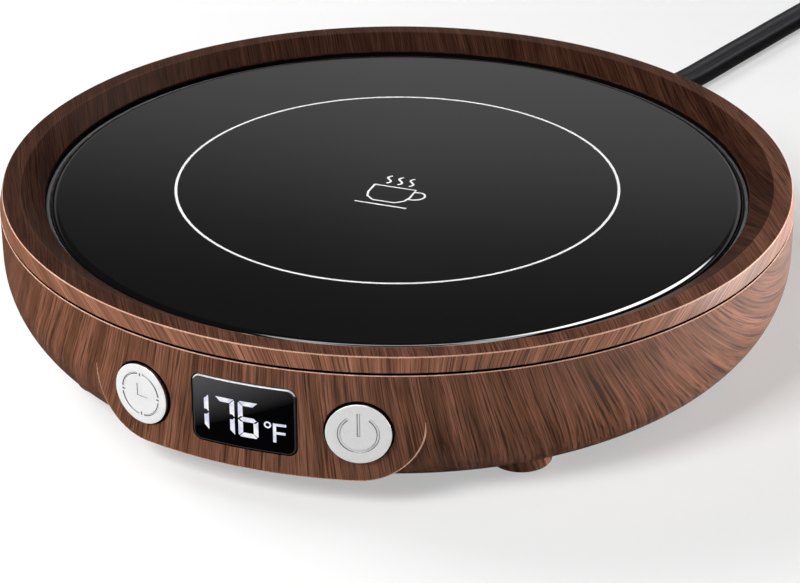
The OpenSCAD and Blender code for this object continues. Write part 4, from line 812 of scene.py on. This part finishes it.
# Painted reflection: the smoked face is lighter at its upper left corner, fading to black
REFLECTION_WAY = (-12, 0, 27)
place = add_node(tree, "TexCoord")
slant = add_node(tree, "VectorMath", {"operation": "DOT_PRODUCT", 1: REFLECTION_WAY},
                 {0: place.outputs["Object"]})
painted_reflection = add_node(tree, "ValToRGB", {"stops": ((0.44, "#030304"), (0.85, "#58585a"))},
                {"Fac": slant.outputs["Value"]})
link(tree, shader, {"Base Color": painted_reflection})
chamfer_shade = grained("chamfer_painted_shade", {"Roughness": 0.3, "IOR": 1.3}, 900, 0.05,
                    ("#2a2a2c", "#343436"))
chamfer_highlight = grained("chamfer_painted_highlight", {"Roughness": 0.15}, 900, 0.05, ("#c4c4c6", "#d6d6d8"))
lens = piece_from(bm, "display_window", (smoked, chamfer_shade, chamfer_highlight), 40.0)
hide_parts("display_lens")

# Seven-segment figures 3.6 mm wide with their outer corners cut
SEGMENT = 0.85
SEGMENT_GAP = 0.09
DIGIT_TOP, DIGIT_LOW = 19.4, 12.5
DIGIT_MID = (DIGIT_TOP + DIGIT_LOW) / 2
FIGURE_T, FIGURE_RISE = 0.1, 0.02


def segment_outlines(x0, x1, lit):
    """Corners of the lit segments of one seven-segment figure."""
    t, g, mid = SEGMENT, SEGMENT_GAP, DIGIT_MID
    top, low, tip = DIGIT_TOP, DIGIT_LOW, 0.28
    shapes = {
        "a": [(x0 + g, top), (x1 - g, top), (x1 - t - g, top - t), (x0 + t + g, top - t)],
        "d": [(x0 + g, low), (x1 - g, low), (x1 - t - g, low + t), (x0 + t + g, low + t)],
        "g": [(x0 + tip, mid), (x0 + t, mid + t / 2), (x1 - t, mid + t / 2),
              (x1 - tip, mid), (x1 - t, mid - t / 2), (x0 + t, mid - t / 2)]}
    for name, outer, inner, up in (("f", x0, x0 + t, 1), ("b", x1, x1 - t, 1),
                                   ("e", x0, x0 + t, -1), ("c", x1, x1 - t, -1)):
        end = top if up > 0 else low
        shapes[name] = [(outer, end - up * g), (outer, mid + up * g),
                        (outer + (inner - outer) / 2, mid + up * (t / 2 + g)),
                        (inner, mid + up * (t / 2 + g)), (inner, end - up * (t + g))]
    return [shapes[key] for key in lit]


def stroke_outline(left, right, top, low):
    return [(left, top), (left, low), (right, low), (right, top)]


# Letter beside the degree sign: a stem, and two bars as (right end, top, low)
STEM_LEFT, STEM_RIGHT = 5.45, 6.01
LETTER_TOP, LETTER_LOW = 16.1, 12.42
TOP_BAR, MIDDLE_BAR = (7.8, 16.1, 15.62), (7.64, 14.5, 14.02)
DEGREE_AT, DEGREE_R, DEGREE_HOLE = (4.5, 15.65), 0.66, 0.36
CUT = 0.4
# Each figure: its outlines, and the corners to cut as (x, z, direction x, direction z)
FIGURES = [
    (segment_outlines(-9.98, -6.38, "bc"), []),
    (segment_outlines(-5.1, -1.5, "abc"), [(-1.62, DIGIT_TOP, 1, 1)]),
    (segment_outlines(-0.82, 2.82, "acdefg"),
     [(-0.82 + CUT, DIGIT_TOP, -1, 1), (-0.82 + CUT, DIGIT_LOW, -1, -1),
      (2.82 - CUT, DIGIT_LOW, 1, -1)]),
    ([stroke_outline(STEM_LEFT, STEM_RIGHT, LETTER_TOP, LETTER_LOW),
      stroke_outline(STEM_RIGHT, *TOP_BAR), stroke_outline(STEM_RIGHT, *MIDDLE_BAR)], [])]
bm = bmesh.new()
for shapes, corners in FIGURES:
    figure = bmesh.new()
    for shape in shapes:
        figure.faces.new([figure.verts.new((x, 0, z)) for x, z in shape])
    for x, z, way_x, way_z in corners:
        cut(figure, (x, 0, z), (way_x, 0, way_z), drop=True)
    take_in(bm, figure)
sign = bmesh.new()
for radius in (DEGREE_R, DEGREE_HOLE):
    bmesh.ops.create_circle(sign, segments=32, radius=radius)
bmesh.ops.bridge_loops(sign, edges=list(sign.edges))
turn_and_move(sign, math.pi / 2, (DEGREE_AT[0], 0, DEGREE_AT[1]), "X")
take_in(bm, sign)
thicken(bm, (0, FIGURE_T, 0))
for step in range(-9, 10):
    cut(bm, (step, 0, 0), (1, 0, 0))
for v in bm.verts:
    v.co.y -= math.sqrt((LENS_R + FIGURE_RISE) ** 2 - v.co.x ** 2)
lit_segment, tree, shader = new_material("lit_segment", {
    "Base Color": hex_rgb("#20202a"), "Roughness": 0.5, "Emission Strength": 0.9})
# Each segment glows a little less evenly than a plain white
place = add_node(tree, "TexCoord")
glow = add_node(tree, "TexNoise", {"Scale": 700, "Detail": 1.0},
                {"Vector": place.outputs["Object"]})
ramp = add_node(tree, "ValToRGB", {"stops": ((0.35, "#d9dcf4"), (0.62, "#ffffff"))},
                {"Fac": glow})
link(tree, shader, {"Emission Color": ramp})
figures_piece = piece_from(bm, "display_figures", lit_segment)

# ---------------------------------------- buttons
# Push buttons: caps plated in satin metal, with a polished side and a thin
# bevel; their signs are milled into the face. Each is fixed to a stem that
# slides in the panel, so it rides on its own body.
CAP_R = 5.68
CAP_FACE = 76.2
CAP_BACK = 74.7
CAP_SOFT = 0.2
CAP_FINISHES = (
    grained("satin_plating", {"Metallic": 0.25, "Roughness": 0.38}, 3000, 0.04,
            ("#e6e6e6", "#ececec"), detail=4.0),
    grained("turned_side", {"Metallic": 1.0, "Roughness": 0.25}, 1500, 0.1,
            ("#8d7d74", "#a08f86")),
    # Darker grey for the groove walls: painted shade in the milled signs
    grained("milled_wall_painted_shade", {"Metallic": 0.6, "Roughness": 0.4}, 1500, 0.1,
            ("#6a6a6c", "#767678")))
MILL_DEPTH = 0.16
MILL_SLOPE = 0.12


def arc(radius, start, end, steps):
    return [polar(radius, start + (end - start) * i / steps) for i in range(steps + 1)]


POWER_SIGN = [arc(3.35, 90 + 34, 90 + 326, 60), [(0, -0.4), (0, 4.0)]]
TIMER_SIGN = [arc(4.0, 8 + turn, 82 + turn, 16) for turn in (0, 90, 180, 270)]
TIMER_SIGN += [[(3.5 * x, 3.5 * y), (4.1 * x, 4.1 * y)]
               for x, y in ((1, 0), (0, 1), (-1, 0), (0, -1))]
HANDS = [(-0.8, -0.4), (1.6, -0.4), (1.6, 0.4), (0.0, 0.4), (0.0, 2.0), (-0.8, 2.0)]
BUTTONS = ((-1, "timer", TIMER_SIGN, 0.36), (1, "power", POWER_SIGN, 0.56))
for side, name, sign, width in BUTTONS:
    cap = spun([(0, CAP_BACK), (CAP_R, CAP_BACK), (CAP_R, CAP_FACE), (0, CAP_FACE)], 96)
    soften_rings(cap, [(CAP_R, CAP_FACE, CAP_SOFT, 3)])
    for face in cap.faces:
        if abs(face.normal.z) < 0.4 and face.calc_center_median().length > 1:
            face.material_index = 1
    # Grooves: flat at the bottom, with sloping walls
    low = width / 2 - MILL_SLOPE
    high = low + 2 * MILL_SLOPE
    cutter = [(-low, -MILL_DEPTH), (low, -MILL_DEPTH), (high, MILL_DEPTH), (-high, MILL_DEPTH)]
    tools = [swept([(x, y, CAP_FACE) for x, y in line], outline=cutter, kind="POLY")
             for line in sign]
    if side < 0:
        hands = bmesh.new()
        hands.faces.new([hands.verts.new((x, y, CAP_FACE - MILL_DEPTH)) for x, y in HANDS])
        thicken(hands, (0, 0, 1))
        tools.append(hands)
    for tool in tools:
        cap = combine(cap, tool, "DIFFERENCE", CAP_FINISHES)
    # Face and groove floors take the satin plating, groove walls the darker grey: painted shade
    for face in cap.faces:
        spot = face.calc_center_median()
        if math.hypot(spot.x, spot.y) < CAP_R - 0.5 and spot.z > CAP_BACK + 0.5:
            face.material_index = 0 if face.normal.z > 0.95 else 2
    at_button(cap, side)
    button = piece_from(cap, name + "_button_cap", CAP_FINISHES, 35.0, name + "_button")
    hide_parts(name + "_cap")

# ---------------------------------------- other parts
# The parts inside and under the body keep their own shapes; each gets the
# finish of its real material. Rows: nodes, roughness, metallic, grain scale and
# the two shades it is mottled in.
FINISHES = {
    "black_abs": ("base_cover control_bracket timer_stem power_stem cord_clamp",
                  0.55, 0, 1600, "#161617", "#1f1f20"),
    "zinc_plate": ("plate_screws cover_screws case_screws board_screws bracket_screws "
                   "control_screws clamp_screws sensor_clip fuse_clip retaining_plate",
                   0.35, 1, 900, "#9a9ca0", "#bcbec2"),
    "foot_rubber": ("foot_pads", 0.85, 0, 1500, "#161617", "#212122"),
    "rolled_aluminium": ("heat_spreader", 0.4, 1, 600, "#b9bbbd", "#cfd1d3"),
    "pressed_mica": ("mica_heater", 0.45, 0, 400, "#8f8468", "#b9ad8a"),
    "ceramic_felt": ("insulation_pad", 1.0, 0, 700, "#cfccc3", "#e9e6de"),
    "glazed_ceramic": ("sensor thermal_fuse", 0.2, 0, 500, "#cfc9b8", "#ddd8c8"),
    "glass_sleeve": ("sensor_wires heater_wires", 0.8, 0, 1500, "#b8b096", "#d6cfb8"),
    "solder_mask": ("main_board control_board", 0.3, 0, 500, "#0c4a27", "#135c33"),
    "yellow_epoxy": ("film_capacitor", 0.3, 0, 800, "#b9820f", "#cf9617"),
    "dark_phenolic": ("bulk_capacitor transformer triac buzzer tact_switches",
                      0.45, 0, 900, "#16171b", "#23242a"),
    "clear_glass_tube": ("board_fuse", 0.1, 0, 400, "#b9c4c4", "#cdd8d8"),
    "green_polyamide": ("terminal_block", 0.5, 0, 900, "#1d5a35", "#297046"),
    "grey_ribbon": ("ribbon_cable", 0.5, 0, 900, "#8a8a8d", "#a3a3a6"),
    "white_abs": ("display_module light_guide", 0.35, 0, 900, "#dcdcdc", "#ededed"),
    "red_acetal": ("timer_plunger power_plunger", 0.4, 0, 900, "#a53a30", "#b9483c"),
    "inner_vinyl": ("inner_cord", 0.45, 0, 900, "#1d1d1e", "#262627"),
    "nickel_plate": ("plug_blades", 0.25, 1, 500, "#b9b4a6", "#cfcabc"),
}
for name, (nodes, roughness, metallic, scale, *shades) in FINISHES.items():
    material = grained(name, {"Roughness": roughness, "Metallic": metallic}, scale, 0.2, shades)
    for node in nodes.split():
        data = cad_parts[node].data
        data.materials.clear()
        data.materials.append(material)

# ---------------------------------------- stage
# A white table top, four soft lamps and a surround that the camera sees as
# plain white.
bm = bmesh.new()
bmesh.ops.create_grid(bm, x_segments=1, y_segments=1, size=3.0)
floor_mesh = bpy.data.meshes.new("table")
bm.to_mesh(floor_mesh)
bm.free()
floor = bpy.data.objects.new("table", floor_mesh)
bpy.context.collection.objects.link(floor)
floor_white, tree, shader = new_material("white_table", {
    "Base Color": hex_rgb("#f8f8f8"), "Roughness": 0.9, "Specular IOR Level": 0.1})
floor_mesh.materials.append(floor_white)
# To the camera and to shiny parts, this share of the table is plain white and
# the rest carries the object's shadow
FLOOR_WHITE = 0.42
rays = add_node(tree, "LightPath")
direct = add_node(tree, "Math", {"operation": "ADD"},
                  {0: rays.outputs["Is Camera Ray"], 1: rays.outputs["Is Glossy Ray"]})
share = add_node(tree, "Math", {"operation": "MULTIPLY", 1: FLOOR_WHITE}, {0: direct})
glow = add_node(tree, "Emission")
mixed = add_node(tree, "MixShader", links={"Fac": share, 1: shader, 2: glow})
# A black flag: shiny parts see the table white only to the right of the object
view = Matrix.Rotation(FRONT + math.pi / 2, 3, "Z")
ahead = view @ Vector((0, -1, 0))
right = view @ Vector((1, 0, 0))
FLAG_FROM, FLAG_TO = 0.04, 0.11
FLAG_DARK = 0.95
place = add_node(tree, "TexCoord")
beside = add_node(tree, "VectorMath", {"operation": "DOT_PRODUCT", 1: right},
                  {0: place.outputs["Object"]})
flag = add_node(tree, "MapRange", {
    "From Min": FLAG_FROM, "From Max": FLAG_TO, "To Min": FLAG_DARK, "To Max": 0.0},
    {"Value": beside.outputs["Value"]})
flag = add_node(tree, "Math", {"operation": "MULTIPLY"},
                {0: flag, 1: rays.outputs["Is Glossy Ray"]})
dark = add_node(tree, "Emission", {"Strength": 0.0})
flagged = add_node(tree, "MixShader", links={"Fac": flag, 1: mixed, 2: dark})
link(tree, tree.nodes["Material Output"], {"Surface": flagged})

# The surround gives plain surfaces light by height, brighter in front of the
# object: stops of (sine of the height, brightness). Polished parts see the other
# stops, which lean and fall off to the left.
SURROUND = ((0.0, 1.0), (0.3, 1.0), (0.6, 0.4), (1.0, 0.1))
BEHIND_GLASS = ((0.0, 0.6), (0.36, 0.56), (0.405, 0.38), (0.441, 0.13), (0.465, 0.06),
                (0.6, 0.03))
SURROUND_BASE = 0.06
SURROUND_FRONT = 0.1
GLASS_LEAN = 0.17
GLOSS_SIDE = 0.8
# Softboxes that only polished edges show: the way to each (right, behind, up), the
# cosines from its centre where it starts and is full, and its brightness
SOFTBOXES = (((0.392, 0.501, 0.772), 0.95, 0.985, 25.0),
             ((0, -0.42, 0.908), 0.93, 0.975, 6.0))
# A ring light overhead draws the thin line round the glass: the sines of the
# heights between which it rises and falls, and its brightness
RING_RISE, RING_FALL = (0.925, 0.94), (0.975, 0.99)
RING_BRIGHT = 7.5
world = bpy.data.worlds.new("surround")
bpy.context.scene.world = world
world.use_nodes = True
tree = world.node_tree
tree.nodes.clear()
way = add_node(tree, "TexCoord").outputs["Generated"]
height = add_node(tree, "SeparateXYZ", links={"Vector": way}).outputs["Z"]
beside = add_node(tree, "VectorMath", {"operation": "DOT_PRODUCT", 1: right}, {0: way})
leftward = add_node(tree, "Math", {"operation": "MINIMUM", 1: 0.0}, {0: beside.outputs["Value"]})
leaned = add_node(tree, "Math", {"operation": "MULTIPLY_ADD", 1: -GLASS_LEAN},
                  {0: leftward, 2: height})
plain, polished = [
    add_node(tree, "ValToRGB",
             {"stops": [(sine, (value, value, value, 1)) for sine, value in stops]},
             {"Fac": source})
    for stops, source in ((SURROUND, height), (BEHIND_GLASS, leaned))]
facing = add_node(tree, "VectorMath", {"operation": "DOT_PRODUCT", 1: ahead}, {0: way})
front = add_node(tree, "Math", {"operation": "MAXIMUM", 1: 0.0}, {0: facing.outputs["Value"]})
front = add_node(tree, "Math", {"operation": "POWER", 1: 2.0}, {0: front})
front = add_node(tree, "Math", {
    "operation": "MULTIPLY_ADD", 1: SURROUND_FRONT, 2: SURROUND_BASE}, {0: front})
soft = add_node(tree, "VectorMath", {"operation": "SCALE"}, {0: plain, "Scale": front})
sided = add_node(tree, "Math", {"operation": "MULTIPLY_ADD", 1: GLOSS_SIDE, 2: 1.0},
                 {0: leftward})
glossy = add_node(tree, "VectorMath", {"operation": "SCALE"}, {0: polished, "Scale": sided})
for place, start, full, strength in SOFTBOXES:
    near = add_node(tree, "VectorMath", {
        "operation": "DOT_PRODUCT", 1: view @ Vector(place)}, {0: way})
    box = add_node(tree, "MapRange", {
        "From Min": start, "From Max": full, "To Max": strength},
        {"Value": near.outputs["Value"]})
    glossy = add_node(tree, "VectorMath", {"operation": "ADD"}, {0: glossy, 1: box})
rise = add_node(tree, "MapRange", {
    "From Min": RING_RISE[0], "From Max": RING_RISE[1], "To Max": RING_BRIGHT},
    {"Value": height})
fall = add_node(tree, "MapRange", {
    "From Min": RING_FALL[0], "From Max": RING_FALL[1], "To Min": 1.0, "To Max": 0.0},
    {"Value": height})
overhead = add_node(tree, "Math", {"operation": "MULTIPLY"}, {0: rise, 1: fall})
glossy = add_node(tree, "VectorMath", {"operation": "ADD"}, {0: glossy, 1: overhead})
rays = add_node(tree, "LightPath")
light = add_node(tree, "MixRGB", links={
    "Fac": rays.outputs["Is Glossy Ray"], "Color1": soft, "Color2": glossy})
seen = add_node(tree, "MixRGB", {"Color2": (1, 1, 1, 1)}, {
    "Fac": rays.outputs["Is Camera Ray"], "Color1": light})
back = add_node(tree, "Background", links={"Color": seen})
add_node(tree, "OutputWorld", links={"Surface": back})

# Lamps: name, place to the right of the view, behind and above, width, height,
# watts, and whether polished surfaces show it
LAMPS = [
    ("right", (0.78, 0.18, 0.02), 0.5, 0.032, 17.5, True),
    ("left", (-0.8, -0.15, 0.03), 0.4, 0.05, 1.5, False),
    ("key", (-0.78, -0.75, 1.0), 0.55, 0.55, 19.5, True),
    ("back", (-0.6, 0.35, 0.5), 0.35, 0.3, 4.5, False),
]
for name, place, width, height, watts, shown in LAMPS:
    lamp = bpy.data.lights.new(name, "AREA")
    lamp.energy = watts
    lamp.shape = "RECTANGLE"
    lamp.size = width
    lamp.size_y = height
    light = bpy.data.objects.new(name, lamp)
    light.visible_glossy = shown
    spot = view @ Vector(place)
    light.location = spot
    light.rotation_euler = (Vector((0, 0, 0.02)) - spot).to_track_quat("-Z", "Y").to_euler()
    bpy.context.collection.objects.link(light)
